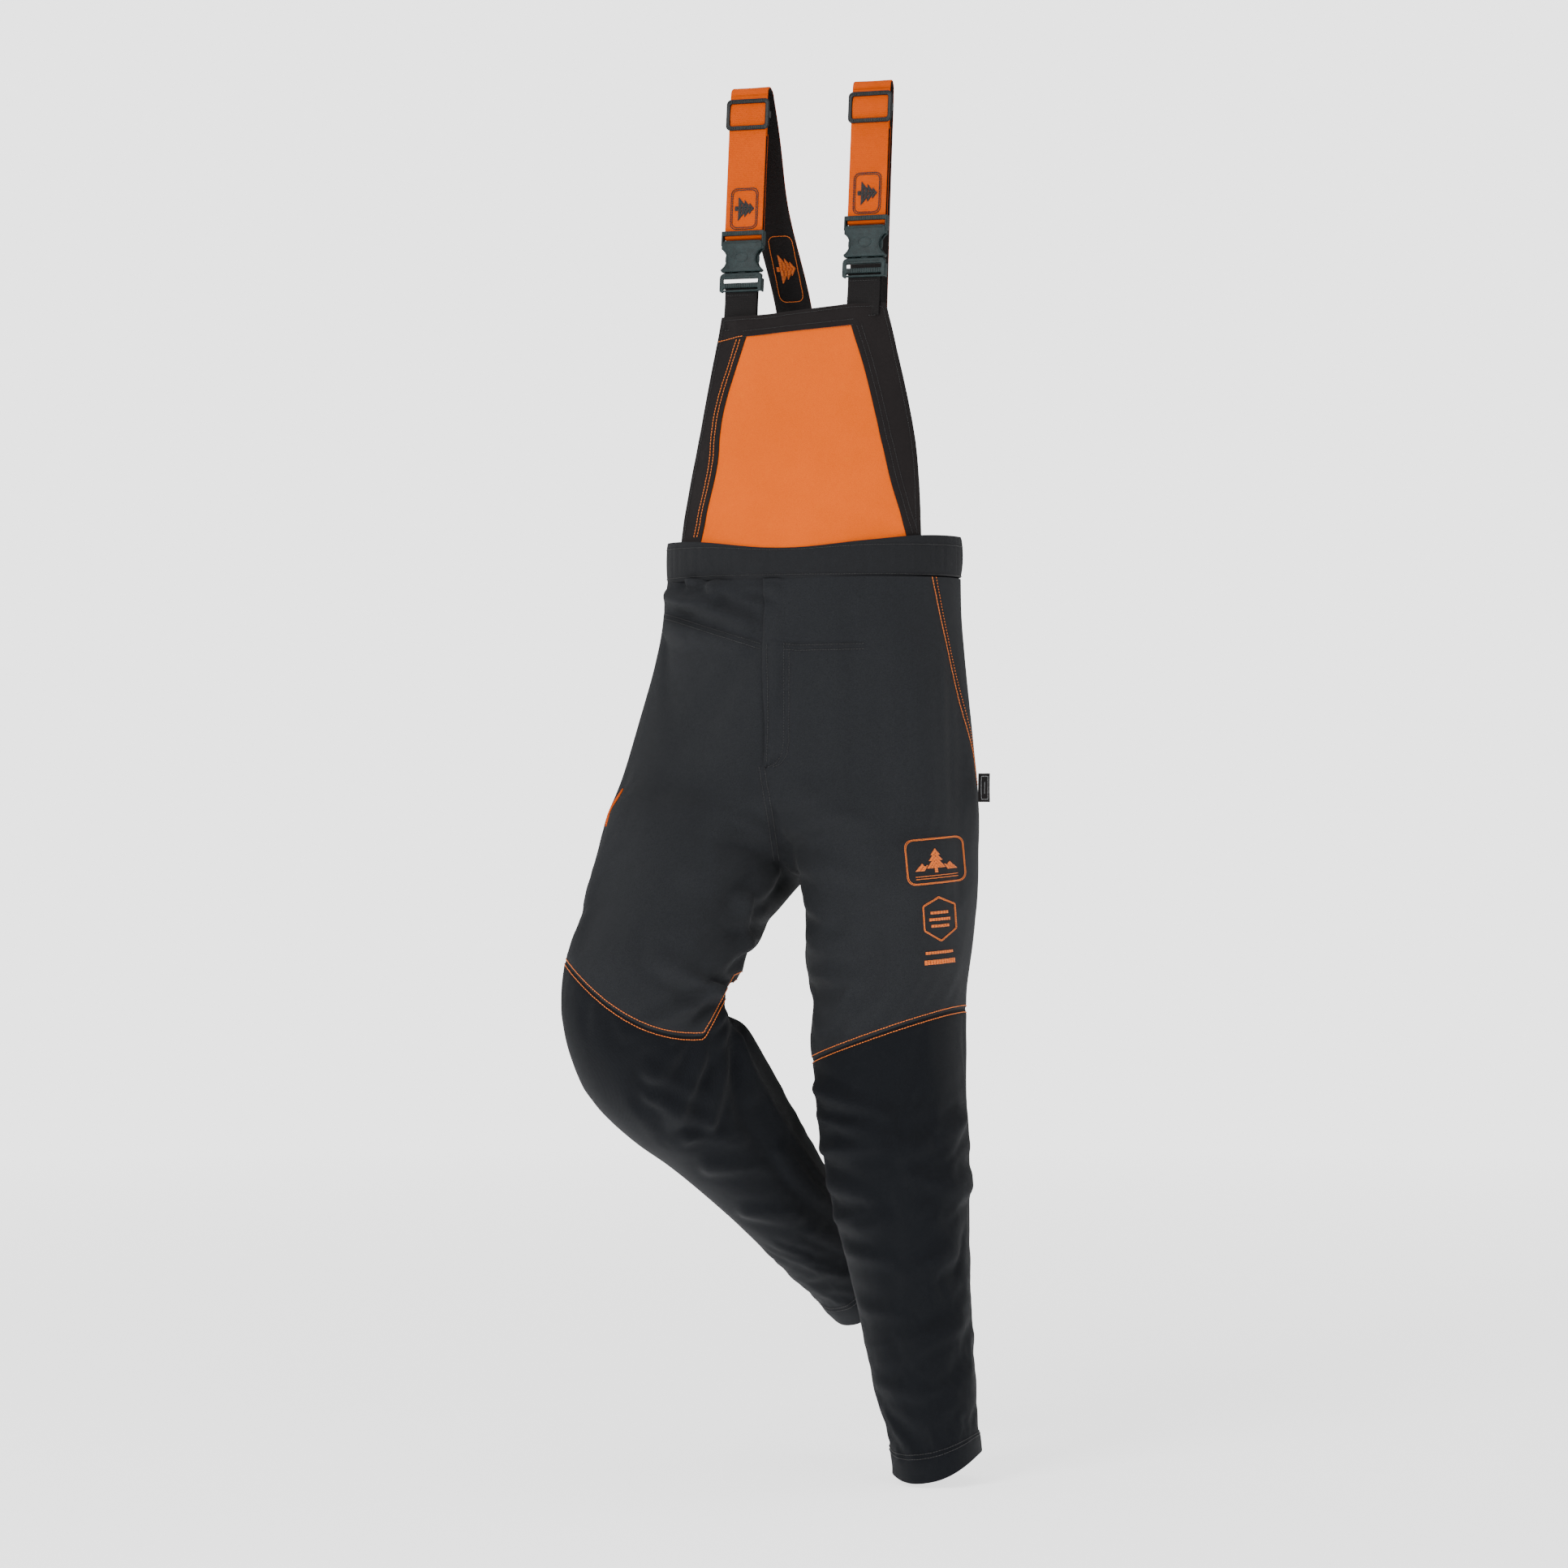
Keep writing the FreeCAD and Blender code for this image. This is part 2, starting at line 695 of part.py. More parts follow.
def make_back_run(side, sign, frame):
    """The part of the brace that goes over the shoulder and down to the outside of the back yoke."""
    top = frame.multVec(Vector(0, 0, size(f"{side}_strap_run") + 3))
    foot = size("waist_half_depth") + 3.5 - top.y
    line = [
        (0, 0),
        (6, 7),
        (16, 7),
        (24, -8),
        (40, 400 - top.z),
        (74, 230 - top.z),
        (foot - 2, 92 - top.z),
        (foot, 20 - top.z),
    ]
    outline = doc.addObject("Part::Polygon", f"back_run_{side}_line")
    outline.Nodes = [
        node - Vector(size("webbing") / 2, 0, 0) for node in ribbon_outline(line, size("webbing_thick"))
    ]
    outline.Close = True
    ribbon = doc.addObject("Part::Extrusion", f"back_run_{side}")
    ribbon.Base = outline
    ribbon.DirMode = "Custom"
    ribbon.Dir = Vector(1, 0, 0)
    bind(ribbon, LengthFwd="webbing")
    ribbon.Solid = True
    lean = Rotation(Vector(0, 1, 0), sign * size("brace_lean"))
    piece(f"brace_back_{side}", ribbon, Placement(top, lean))


def limb_frame(start, end, across):
    """A frame at start whose -Z points at end and whose X lies as near as possible to across."""
    down = (end - start).normalize()
    up = down * -1
    back = up.cross(across).normalize()
    side = back.cross(up).normalize()
    return Placement(start, Rotation(side, back, up, "ZXY"))


def leg_points(side, sign):
    """Hip joint, knee joint and hem centre of one leg."""
    hip = Vector(sign * size("hip_side"), 0, -size("hip_drop"))
    front = size(f"{side}_knee_front")
    knee = Vector(sign * size(f"{side}_knee_side"), -front, -size(f"{side}_knee_drop"))
    if side == "left":
        hem = Vector(size("left_hem_side"), -size("left_hem_front"), -size("left_hem_drop"))
        return hip, knee, hem, Vector(1, 0, 0)
    hem = Vector(size("right_hem_side"), size("right_hem_back"), -size("right_hem_drop"))
    return hip, knee, hem, (knee - hip).cross(hem - knee).normalize()


def along(frame, distance, out=0.0, tilt=0.0):
    """A placement on a limb's axis, at a distance down it, offset outwards and tilted front to back."""
    return frame * Placement(Vector(out, 0, -distance), Rotation(Vector(1, 0, 0), tilt))


def limb_section(name, sign, tilt=0.0, at=None):
    """A section of the upper leg or lower leg from the sheet, in the limb's own frame."""
    out = f"{name}_out" if f"{name}_out" in DIMENSIONS else "0"
    side = out if sign > 0 else f"-{out}"
    return Section(f"{name}_wide", f"{name}_deep", centre=(side, "0", f"-({at or name + '_at'})"), tilt=tilt)


def make_limb(side, limb, sections, frame):
    """Front and back panel, the pad in the front half, and the lining of one leg section."""
    shell = wall(f"{side}_{limb}_shell", sections, *SHELL)
    pad = wall(f"{side}_{limb}_padding", sections, *PAD)
    lining = wall(f"{side}_{limb}_inner", sections, *LINING)
    piece(f"{limb}_front_{side}", common(f"{limb}_front_{side}_part", shell, FRONT), frame)
    piece(f"{limb}_back_{side}", common(f"{limb}_back_{side}_part", shell, BACK), frame)
    piece(f"{limb}_pad_{side}", common(f"{limb}_pad_{side}_part", pad, FRONT), frame)
    piece(f"{limb}_lining_{side}", lining, frame)


def make_leg(side, sign):
    """One trouser leg: hip fold, upper leg, knee fold, lower leg and hem."""
    hip, knee, hem, knee_axis = leg_points(side, sign)
    thigh = limb_frame(hip, knee, knee_axis)
    shin = limb_frame(knee, hem, knee_axis)
    tilt = size("knee_tilt")
    gap = size("joint_gap")

    make_limb(
        side,
        "thigh",
        [limb_section("thigh_top", sign), limb_section("thigh_mid", sign), limb_section("thigh_end", sign, tilt)],
        thigh,
    )
    foot = f"{side}_hem_at"
    make_limb(
        side,
        "shin",
        [
            limb_section("shin_top", sign, -tilt),
            limb_section("shin_mid", sign),
            limb_section("shin_calf", sign),
            limb_section("shin_low", sign),
            limb_section("hem", sign, at=f"{foot} - hem_band - 0.5"),
        ],
        shin,
    )
    hem_sections = [limb_section("hem", sign, at=f"{foot} - hem_band"), limb_section("hem", sign, at=foot)]
    piece(f"hem_band_{side}", wall(f"hem_{side}", hem_sections, "0", "hem_thick"), shin)

    top_out = sign * size("thigh_top_out")
    thigh_top = size("thigh_top_at") - gap
    upper = Placement(
        Vector(sign * size("fold_side"), 0, -size("hips_drop") - gap), Rotation()
    )
    lower = along(thigh, thigh_top, top_out)
    halfway = Placement(
        (upper.Base + lower.Base) * 0.5, Rotation(upper.Rotation.slerp(lower.Rotation, 0.5))
    )
    fold = [
        Section("fold_half_width", "fold_half_depth", at=upper),
        Section("fold_half_width", "fold_half_depth", at=halfway),
        Section("thigh_top_wide", "thigh_top_deep", at=lower),
    ]
    piece(f"hip_fold_{side}", wall(f"hip_fold_{side}_ring", fold, *SHELL))

    bend = [
        Section("thigh_end_wide", "thigh_end_deep", at=along(thigh, size("thigh_end_at") + gap, 0, tilt)),
        Section(
            "knee_half_wide",
            "knee_half_deep",
            at=Placement(knee, Rotation(thigh.Rotation.slerp(shin.Rotation, 0.5))),
        ),
        Section("shin_top_wide", "shin_top_deep", at=along(shin, size("shin_top_at") - gap, 0, -tilt)),
    ]
    piece(f"knee_fold_{side}", wall(f"knee_fold_{side}_ring", bend, *SHELL))


make_waistband()
make_hips()
make_zip()
make_side_tab()
make_back_yoke()
make_bib()
for side_name, side_sign in SIDES.items():
    make_strap(side_name, side_sign)
    make_leg(side_name, side_sign)
doc.recompute()

for obj in doc.Objects:
    state = set(obj.State) & {"Invalid", "Error"}
    if state:
        raise RuntimeError(f"{obj.Name} ({obj.Label}) failed: {sorted(state)}")
for node, obj in pieces.items():
    if obj.Shape.isNull() or not obj.Shape.isValid() or not obj.Shape.Solids:
        raise RuntimeError(f"{node} has no valid solid")
    if obj.Label != node:
        raise RuntimeError(f"{node} lost its name to {obj.Label}")

os.makedirs("parts", exist_ok=True)
for node, obj in pieces.items():
    obj.Shape.exportStep(f"parts/{node}.step")
    print(f"{node:28s} {obj.Shape.Volume / 1000:9.2f} cm3")
print(len(pieces), "pieces")
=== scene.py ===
import json
import math

import bmesh
import bpy
import numpy as np
from mathutils import Matrix, Vector
from mathutils.bvhtree import BVHTree


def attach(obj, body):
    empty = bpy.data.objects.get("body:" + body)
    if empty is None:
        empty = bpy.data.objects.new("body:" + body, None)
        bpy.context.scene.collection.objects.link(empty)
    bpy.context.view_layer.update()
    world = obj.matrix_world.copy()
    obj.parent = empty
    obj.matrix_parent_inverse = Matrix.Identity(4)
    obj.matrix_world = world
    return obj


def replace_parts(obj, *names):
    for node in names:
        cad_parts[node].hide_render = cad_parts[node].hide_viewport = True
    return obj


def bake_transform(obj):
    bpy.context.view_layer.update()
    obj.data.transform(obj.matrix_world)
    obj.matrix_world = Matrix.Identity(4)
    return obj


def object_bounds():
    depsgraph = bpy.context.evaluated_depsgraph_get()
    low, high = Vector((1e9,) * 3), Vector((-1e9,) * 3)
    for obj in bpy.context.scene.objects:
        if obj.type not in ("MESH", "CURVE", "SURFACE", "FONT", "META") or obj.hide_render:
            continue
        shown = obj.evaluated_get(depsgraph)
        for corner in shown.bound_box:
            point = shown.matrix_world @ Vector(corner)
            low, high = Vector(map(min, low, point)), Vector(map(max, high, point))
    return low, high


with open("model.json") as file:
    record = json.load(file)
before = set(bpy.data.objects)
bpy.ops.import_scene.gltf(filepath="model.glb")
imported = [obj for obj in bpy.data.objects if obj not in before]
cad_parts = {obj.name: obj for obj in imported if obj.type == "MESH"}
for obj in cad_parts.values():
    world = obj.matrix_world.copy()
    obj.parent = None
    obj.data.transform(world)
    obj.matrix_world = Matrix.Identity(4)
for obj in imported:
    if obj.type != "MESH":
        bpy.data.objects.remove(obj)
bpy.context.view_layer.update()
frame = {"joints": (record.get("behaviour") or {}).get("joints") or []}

# Padded bib-and-brace trousers. Metres; +Z up, front towards -Y, the wearer's left is +X.


record_joints = {j["name"]: j for j in frame["joints"]}
RNG = np.random.default_rng(7)


# ---------------------------------------------------------------- materials


class Nodes:
    """Short names for building a shader."""

    def __init__(self, name):
        self.material = bpy.data.materials.new(name)
        self.material.use_nodes = True
        self.tree = self.material.node_tree
        self.tree.nodes.clear()
        self.out = self.tree.nodes.new("ShaderNodeOutputMaterial")
        self.shader = self.tree.nodes.new("ShaderNodeBsdfPrincipled")
        self.tree.links.new(self.shader.outputs[0], self.out.inputs[0])

    def node(self, kind, **values):
        n = self.tree.nodes.new("ShaderNode" + kind)
        for key, value in values.items():
            setattr(n, key, value)
        return n

    def link(self, source, target):
        if hasattr(source, "outputs"):
            source = source.outputs[0]
        self.tree.links.new(source, target)

    def feed(self, value, socket):
        """Sets a constant directly, or links a node's output."""
        if isinstance(value, (int, float, tuple, list)):
            socket.default_value = value
        else:
            self.link(value, socket)

    def maths(self, operation, a, b=0.0, clamp=False):
        n = self.node("Math", operation=operation, use_clamp=clamp)
        self.feed(a, n.inputs[0])
        self.feed(b, n.inputs[1])
        return n

    def noise(self, vector, scale, detail=3.0, roughness=0.55):
        n = self.node("TexNoise")
        if vector is not None:
            self.link(vector, n.inputs["Vector"])
        n.inputs["Scale"].default_value = scale
        n.inputs["Detail"].default_value = detail
        n.inputs["Roughness"].default_value = roughness
        return n.outputs["Fac"]

    def ramp(self, fac, stops):
        n = self.node("ValToRGB")
        self.link(fac, n.inputs[0])
        band = n.color_ramp
        while len(band.elements) < len(stops):
            band.elements.new(0.5)
        for element, (place, colour) in zip(band.elements, stops):
            element.position = place
            element.color = (*colour, 1.0) if len(colour) == 3 else colour
        return n.outputs["Color"]

    def mix(self, fac, a, b, blend="MIX"):
        n = self.node("Mix", data_type="RGBA", blend_type=blend)
        self.feed(fac, n.inputs[0])
        self.feed((*a, 1.0) if isinstance(a, tuple) and len(a) == 3 else a, n.inputs[6])
        self.feed((*b, 1.0) if isinstance(b, tuple) and len(b) == 3 else b, n.inputs[7])
        return n.outputs[2]

    def bump(self, height, distance, strength=1.0, normal=None):
        n = self.node("Bump")
        n.inputs["Strength"].default_value = strength
        n.inputs["Distance"].default_value = distance
        self.link(height, n.inputs["Height"])
        if normal is not None:
            self.link(normal, n.inputs["Normal"])
        return n.outputs["Normal"]

    def finish(self, colour, roughness, normal=None, sheen=0.0, metallic=0.0, specular=0.5):
        s = self.shader.inputs
        self.feed(colour, s["Base Color"])
        self.feed(roughness, s["Roughness"])
        s["Metallic"].default_value = metallic
        s["Specular IOR Level"].default_value = specular
        s["Sheen Weight"].default_value = sheen
        s["Sheen Roughness"].default_value = 0.5
        if normal is not None:
            self.link(normal, s["Normal"])
        return self.material


def cloth_material(
    name, dark, light, pitch=0.0011, sheen=0.25, rough=0.82, twill=False, fade=0.35, bump=0.00025,
    specular=0.18
):
    """Woven cloth: threads, flecks of lighter fibre, large soft tone changes and a nap."""
    m = Nodes(name)
    uv = m.node("UVMap", uv_map="weave").outputs[0]
    place = m.node("TexCoord").outputs["Object"]
    split = m.node("SeparateXYZ")
    m.link(uv, split.inputs[0])
    turn = 2 * math.pi / pitch
    wobble = m.noise(place, 260.0, 2.0)
    u = m.maths("MULTIPLY", split.outputs[0], turn)
    v = m.maths("MULTIPLY", split.outputs[1], turn)
    v = m.maths("ADD", v, m.maths("MULTIPLY", wobble, 1.6))
    if twill:
        wave = m.maths("SINE", m.maths("ADD", u, v))
        cross = m.maths("SINE", m.maths("MULTIPLY", u, 2.0))
    else:
        wave = m.maths("SINE", u)
        cross = m.maths("SINE", v)
    height = m.maths("ADD", m.maths("MULTIPLY", m.maths("MULTIPLY", wave, cross), 0.5), 0.5)
    fleck = m.noise(place, 1400.0, 2.0, 0.7)
    broad = m.noise(place, 9.0, 4.0, 0.6)
    worn = m.noise(place, 42.0, 5.0, 0.65)
    tone = m.maths("ADD", m.maths("MULTIPLY", fleck, 0.75), m.maths("MULTIPLY", height, 0.35))
    colour = m.ramp(tone, [(0.36, dark), (0.66, light)])
    lift = m.ramp(broad, [(0.35, (0.84, 0.84, 0.84)), (0.68, (1.12, 1.12, 1.12))])
    colour = m.mix(fade, colour, lift, "MULTIPLY")
    rubbed = m.ramp(worn, [(0.60, (0.0, 0.0, 0.0)), (0.78, (0.16, 0.16, 0.16))])
    paler = tuple(min(1.0, c * 1.5 + 0.01) for c in light)
    colour = m.mix(rubbed, colour, paler)
    normal = m.bump(height, bump, 0.8)
    normal = m.bump(worn, 0.0009, 0.35, normal)
    roughness = m.maths("ADD", m.maths("MULTIPLY", fleck, 0.16), rough - 0.08)
    return m.finish(colour, roughness, normal, sheen=sheen, specular=specular)


def webbing_material(name, dark, light, ribs=0.0023, rough=0.7, sheen=0.1, specular=0.2):
    """Heavy ribbed tape, with small diagonal bars between its warp cords."""
    m = Nodes(name)
    uv = m.node("UVMap", uv_map="weave").outputs[0]
    place = m.node("TexCoord").outputs["Object"]
    split = m.node("SeparateXYZ")
    m.link(uv, split.inputs[0])
    u = m.maths("MULTIPLY", split.outputs[0], 2 * math.pi / ribs)
    v = m.maths("MULTIPLY", split.outputs[1], 2 * math.pi / 0.0017)
    rib = m.maths("ABSOLUTE", m.maths("SINE", u))
    bar = m.maths("SINE", m.maths("ADD", v, m.maths("MULTIPLY", m.maths("SINE", u), 1.4)))
    height = m.maths("ADD", m.maths("MULTIPLY", rib, 0.55), m.maths("MULTIPLY", bar, 0.3))
    fleck = m.noise(place, 1500.0, 2.0, 0.7)
    broad = m.noise(place, 24.0, 3.0)
    tone = m.maths("ADD", m.maths("MULTIPLY", fleck, 0.55), m.maths("MULTIPLY", height, 0.42))
    colour = m.ramp(tone, [(0.22, dark), (0.72, light)])
    colour = m.mix(0.4, colour, m.ramp(broad, [(0.3, (0.8, 0.8, 0.8)), (0.7, (1.1, 1.1, 1.1))]), "MULTIPLY")
    return m.finish(colour, rough, m.bump(height, 0.0005, 0.9), sheen=sheen, specular=specular)


def plastic_material(name, dark, light, rough=0.46):
    """Moulded plastic with a speckled grain, paler on its sharp edges, where it has been handled."""
    m = Nodes(name)
    place = m.node("TexCoord").outputs["Object"]
    speck = m.noise(place, 900.0, 4.0, 0.75)
    cloud = m.noise(place, 120.0, 4.0, 0.6)
    tone = m.maths("ADD", m.maths("MULTIPLY", speck, 0.7), m.maths("MULTIPLY", cloud, 0.4))
    colour = m.ramp(tone, [(0.42, dark), (0.60, light), (0.75, tuple(min(1, c * 1.8) for c in light))])
    edge = m.node("NewGeometry").outputs["Pointiness"]
    rubbed = m.ramp(edge, [(0.52, (0.0, 0.0, 0.0)), (0.60, (0.35, 0.35, 0.35))])
    colour = m.mix(rubbed, colour, tuple(min(1, c * 2.2 + 0.004) for c in light))
    roughness = m.maths("ADD", m.maths("MULTIPLY", speck, 0.25), rough - 0.12)
    return m.finish(colour, roughness, m.bump(tone, 0.0004, 0.5), specular=0.2)


def thread_material(name, dark, light):
    """Twisted sewing thread."""
    m = Nodes(name)
    place = m.node("TexCoord").outputs["Object"]
    twist = m.noise(place, 2600.0, 1.0)
    colour = m.ramp(twist, [(0.35, dark), (0.65, light)])
    return m.finish(colour, 0.6, m.bump(twist, 0.0002, 0.6), sheen=0.2, specular=0.4)


def metal_material(name, dark, light):
    """Plated zip metal, dulled in patches."""
    m = Nodes(name)
    place = m.node("TexCoord").outputs["Object"]
    patch = m.noise(place, 320.0, 4.0)
    colour = m.ramp(patch, [(0.35, dark), (0.7, light)])
    roughness = m.maths("ADD", m.maths("MULTIPLY", patch, 0.35), 0.2)
    return m.finish(colour, roughness, m.bump(patch, 0.0001, 0.4), metallic=1.0)


MATERIALS = {
    "lining": cloth_material("lining_knit", (0.035, 0.036, 0.038), (0.085, 0.086, 0.09), 0.0021, rough=0.9),
    "orange": cloth_material("bib_orange", (0.74, 0.080, 0.0), (0.95, 0.155, 0.0), 0.0013, 0.0, fade=0.25,
                             specular=0.04),
    # the bib border's warm purple-brown tint is painted reflection of the orange panel, laid over the whole
    # border's charcoal cloth
    "border": cloth_material("bib_border", (0.0040, 0.0032, 0.0033), (0.0155, 0.0120, 0.0120), 0.0013,
                             sheen=0.03),
    "web_orange": webbing_material("webbing_orange", (0.56, 0.052, 0.0), (0.93, 0.150, 0.0), sheen=0.0,
                                   specular=0.06),
    "web_dark": webbing_material("webbing_dark", (0.0026, 0.0024, 0.0026), (0.0150, 0.0120, 0.0118),
                                 sheen=0.04),
    "buckle": plastic_material("buckle_plastic", (0.0034, 0.0072, 0.0076), (0.013, 0.025, 0.0260)),
    "buckle_dark": plastic_material("buckle_dark", (0.0018, 0.0022, 0.0024), (0.008, 0.010, 0.011), 0.4),
    "thread_orange": thread_material("thread_orange", (0.80, 0.12, 0.001), (1.0, 0.26, 0.008)),
    "thread_dark": thread_material("thread_dark", (0.003, 0.003, 0.003), (0.02, 0.02, 0.021)),
    "thread_pale": thread_material("thread_pale", (0.20, 0.21, 0.215), (0.42, 0.43, 0.44)),
    "metal": metal_material("zip_metal", (0.10, 0.10, 0.10), (0.42, 0.40, 0.37)),
}


# ---------------------------------------------------------------- mesh helpers


def new_object(name, verts, faces, material=None, uvs=None, smooth=True):
    mesh = bpy.data.meshes.new(name)
    mesh.from_pydata([tuple(map(float, v)) for v in verts], [], [tuple(map(int, f)) for f in faces])
    if uvs is not None:
        layer = mesh.uv_layers.new(name="weave")
        layer.data.foreach_set("uv", np.asarray(uvs, np.float32).reshape(-1))
    if smooth:
        mesh.polygons.foreach_set("use_smooth", [True] * len(mesh.polygons))
    mesh.update()
    obj = bpy.data.objects.new(name, mesh)
    bpy.context.scene.collection.objects.link(obj)
    if material is not None:
        mesh.materials.append(MATERIALS[material] if isinstance(material, str) else material)
    return obj


def apply_modifiers(obj):
    """Replaces obj's mesh by the result of its modifiers."""
    graph = bpy.context.evaluated_depsgraph_get()
    mesh = bpy.data.meshes.new_from_object(obj.evaluated_get(graph), preserve_all_data_layers=True,
                                           depsgraph=graph)
    old = obj.data
    obj.modifiers.clear()
    obj.data = mesh
    bpy.data.meshes.remove(old)
    return obj


def modified(obj, kind, **values):
    modifier = obj.modifiers.new(kind, kind)
    for key, value in values.items():
        setattr(modifier, key, value)
    apply_modifiers(obj)


def points_of(obj):
    co = np.zeros(len(obj.data.vertices) * 3, np.float32)
    obj.data.vertices.foreach_get("co", co)
    return co.reshape(-1, 3).astype(float)


def smooth_step(x):
    x = np.clip(x, 0.0, 1.0)
    return x * x * (3 - 2 * x)


def spline(table, at):
    """Smooth values through the rows of a table, whose first column rises, at the given places."""
    table = np.array(table, float)
    at = np.clip(np.asarray(at, float), table[0, 0], table[-1, 0])
    x, y = table[:, 0], table[:, 1:]
    slope = np.gradient(y, x, axis=0)
    i = np.clip(np.searchsorted(x, at, side="right") - 1, 0, len(x) - 2)
    h = (x[i + 1] - x[i])[:, None]
    t = ((at - x[i]) / (x[i + 1] - x[i]))[:, None]
    a = (2 * t**3 - 3 * t**2 + 1) * y[i] + (t**3 - 2 * t**2 + t) * h * slope[i]
    return a + (-2 * t**3 + 3 * t**2) * y[i + 1] + (t**3 - t**2) * h * slope[i + 1]


def unit(v):
    v = np.asarray(v, float)
    return v / np.linalg.norm(v)


def grid_faces(rows, columns, closed=False):
    """Quads of a grid whose vertex index is row * columns + column."""
    faces = []
    last = columns if closed else columns - 1
    for r in range(rows - 1):
        for c in range(last):
            n = (c + 1) % columns
            faces.append((r * columns + c, r * columns + n, (r + 1) * columns + n, (r + 1) * columns + c))
    return faces


# ---------------------------------------------------------------- the limbs' centre lines

HIP = {"left": np.array([0.095, 0, -0.240]), "right": np.array([-0.095, 0, -0.240])}
KNEE = {"left": np.array([0.108, -0.030, -0.650]), "right": np.array([-0.151, -0.214, -0.580])}
HEM = {"left": np.array([0.189, -0.080, -1.122]), "right": np.array([0.031, 0.107, -0.923])}
HEM_AT = {"left": 0.480, "right": 0.500}
SIGN = {"left": 1.0, "right": -1.0}
FOLD_AXIS = {
    "left": np.array([1.0, 0, 0]),
    "right": unit(np.cross(KNEE["right"] - HIP["right"], HEM["right"] - KNEE["right"])),
}
CROTCH_LOW = np.array([0.0, 0.004, -0.400])

# ---------------------------------------------------------------- trousers: one skin, posed


def limb_axes(start, end, side, across):
    """Outward, backward and upward directions of a limb that runs from start to end."""
    up = unit(start - end)
    back = unit(np.cross(up, across))
    return np.concatenate([unit(np.cross(back, up)) * SIGN[side], back])


def turned(axes_a, axes_b, share):
    """Outward and backward directions part of the way between two sets."""
    mixed = (1 - share) * axes_a + share * axes_b
    return np.concatenate([unit(mixed[:3]), unit(mixed[3:])])


def flexed_leg(side):
    return side == "right"


def stations(side):
    """Rows of: distance down from the waist, centre, outward, backward, half width, front, back."""
    g = SIGN[side]
    hip, knee, hem, across = HIP[side], KNEE[side], HEM[side], FOLD_AXIS[side]
    level = np.array([g, 0, 0, 0, 1.0, 0])
    thigh = limb_axes(hip, knee, side, across)
    shin = limb_axes(knee, hem, side, across)
    down, along = unit(knee - hip), unit(hem - knee)
    reach = np.linalg.norm(knee - hip)
    out = g * np.array([1.0, 0, 0])
    rows = []

    def add(s, centre, axes, width, front, back):
        rows.append(np.concatenate([[s], centre, axes, [width, front, back]]))

    add(0.0455, (0, 0, -0.0455), level, 0.186, 0.1075, 0.1075)
    if side == "left":
        add(0.095, (0, 0, -0.095), level, 0.187, 0.110, 0.110)
        add(0.150, (0, 0, -0.150), level, 0.192, 0.114, 0.118)
        add(0.235, (0, 0, -0.235), level, 0.203, 0.120, 0.128)
        add(0.300, (0, 0, -0.300), level, 0.210, 0.121, 0.128)
        add(0.345, (0.042, -0.001, -0.344), turned(level, thigh, 0.3), 0.169, 0.121, 0.125)
        add(0.378, (0.096, -0.006, -0.377), turned(level, thigh, 0.7), 0.113, 0.118, 0.120)
    else:
        add(0.095, (-0.002, -0.001, -0.094), level, 0.189, 0.112, 0.110)
        add(0.150, (-0.004, -0.003, -0.149), level, 0.198, 0.119, 0.118)
        add(0.235, (-0.010, -0.010, -0.233), turned(level, thigh, 0.12), 0.217, 0.139, 0.128)
        add(0.300, (-0.020, -0.024, -0.296), turned(level, thigh, 0.28), 0.226, 0.150, 0.124)
        add(0.345, (-0.070, -0.046, -0.334), turned(level, thigh, 0.50), 0.178, 0.148, 0.121)
        add(0.378, (-0.116, -0.064, -0.359), turned(level, thigh, 0.72), 0.131, 0.140, 0.118)
    base = -hip[2]
    full = 0.007 if flexed_leg(side) else 0.0
    add(base + 0.178, hip + down * 0.178 + out * 0.006, thigh, 0.104 + 0.5 * full, 0.119 + full, 0.117)
    add(base + 0.262, hip + down * 0.262 + out * 0.002, thigh, 0.098, 0.108, 0.104)
    bend = 0.110
    first, last = knee - down * bend, knee + along * bend
    flexed = flexed_leg(side)
    for share in (0.0, 0.25, 0.5, 0.75, 1.0):
        centre = (1 - share) ** 2 * first + 2 * share * (1 - share) * knee + share**2 * last
        bulge = 4 * share * (1 - share)
        front = 0.102 - 0.006 * share + (0.019 if flexed else 0.002) * bulge
        back = 0.100 - 0.014 * share - (0.036 if flexed
                                        else 0.004) * bulge + (0.024 if flexed else 0.0) * share**2
        width = 0.094 - 0.008 * share + (0.004 if flexed else 0.001) * bulge
        s = base + reach - bend + share * 2 * bend
        add(s, centre, turned(thigh, shin, share), width, front, back)
    foot = base + reach
    calf = 0.024 if flexed else 0.0
    add(foot + 0.170, knee + along * 0.170, shin, 0.078, 0.082, 0.082 + calf)
    add(foot + 0.270, knee + along * 0.270, shin, 0.066, 0.069, 0.069 + 0.6 * calf)
    add(foot + 0.370, knee + along * 0.370, shin, 0.059, 0.061, 0.061 + 0.2 * calf)
    end = HEM_AT[side]
    add(foot + end - 0.02, knee + along * (end - 0.02), shin, 0.054, 0.057, 0.057)
    add(foot + end, knee + along * end, shin, 0.0535, 0.0565, 0.0565)
    return np.array(rows)


STATIONS = {side: stations(side) for side in HIP}
CROTCH_AT = 0.378
OUTER = 85
INNER = 13
ROUND = OUTER + INNER - 2
UPPER_ROWS = 47
SQUARE = 2 / 2.25


def ring_points(row, angle):
    """Points of one ring at the given angles: 0 outwards, negative in front."""
    centre, out, back = row[1:4], row[4:7], row[7:10]
    width, front, rear = row[10:13]
    c, s = np.cos(angle), np.sin(angle)
    c = np.sign(c) * np.abs(c) ** SQUARE
    s = np.sign(s) * np.abs(s) ** SQUARE
    deep = np.where(s < 0, front, rear)
    return centre + np.outer(c * width, out) + np.outer(s * deep, back)


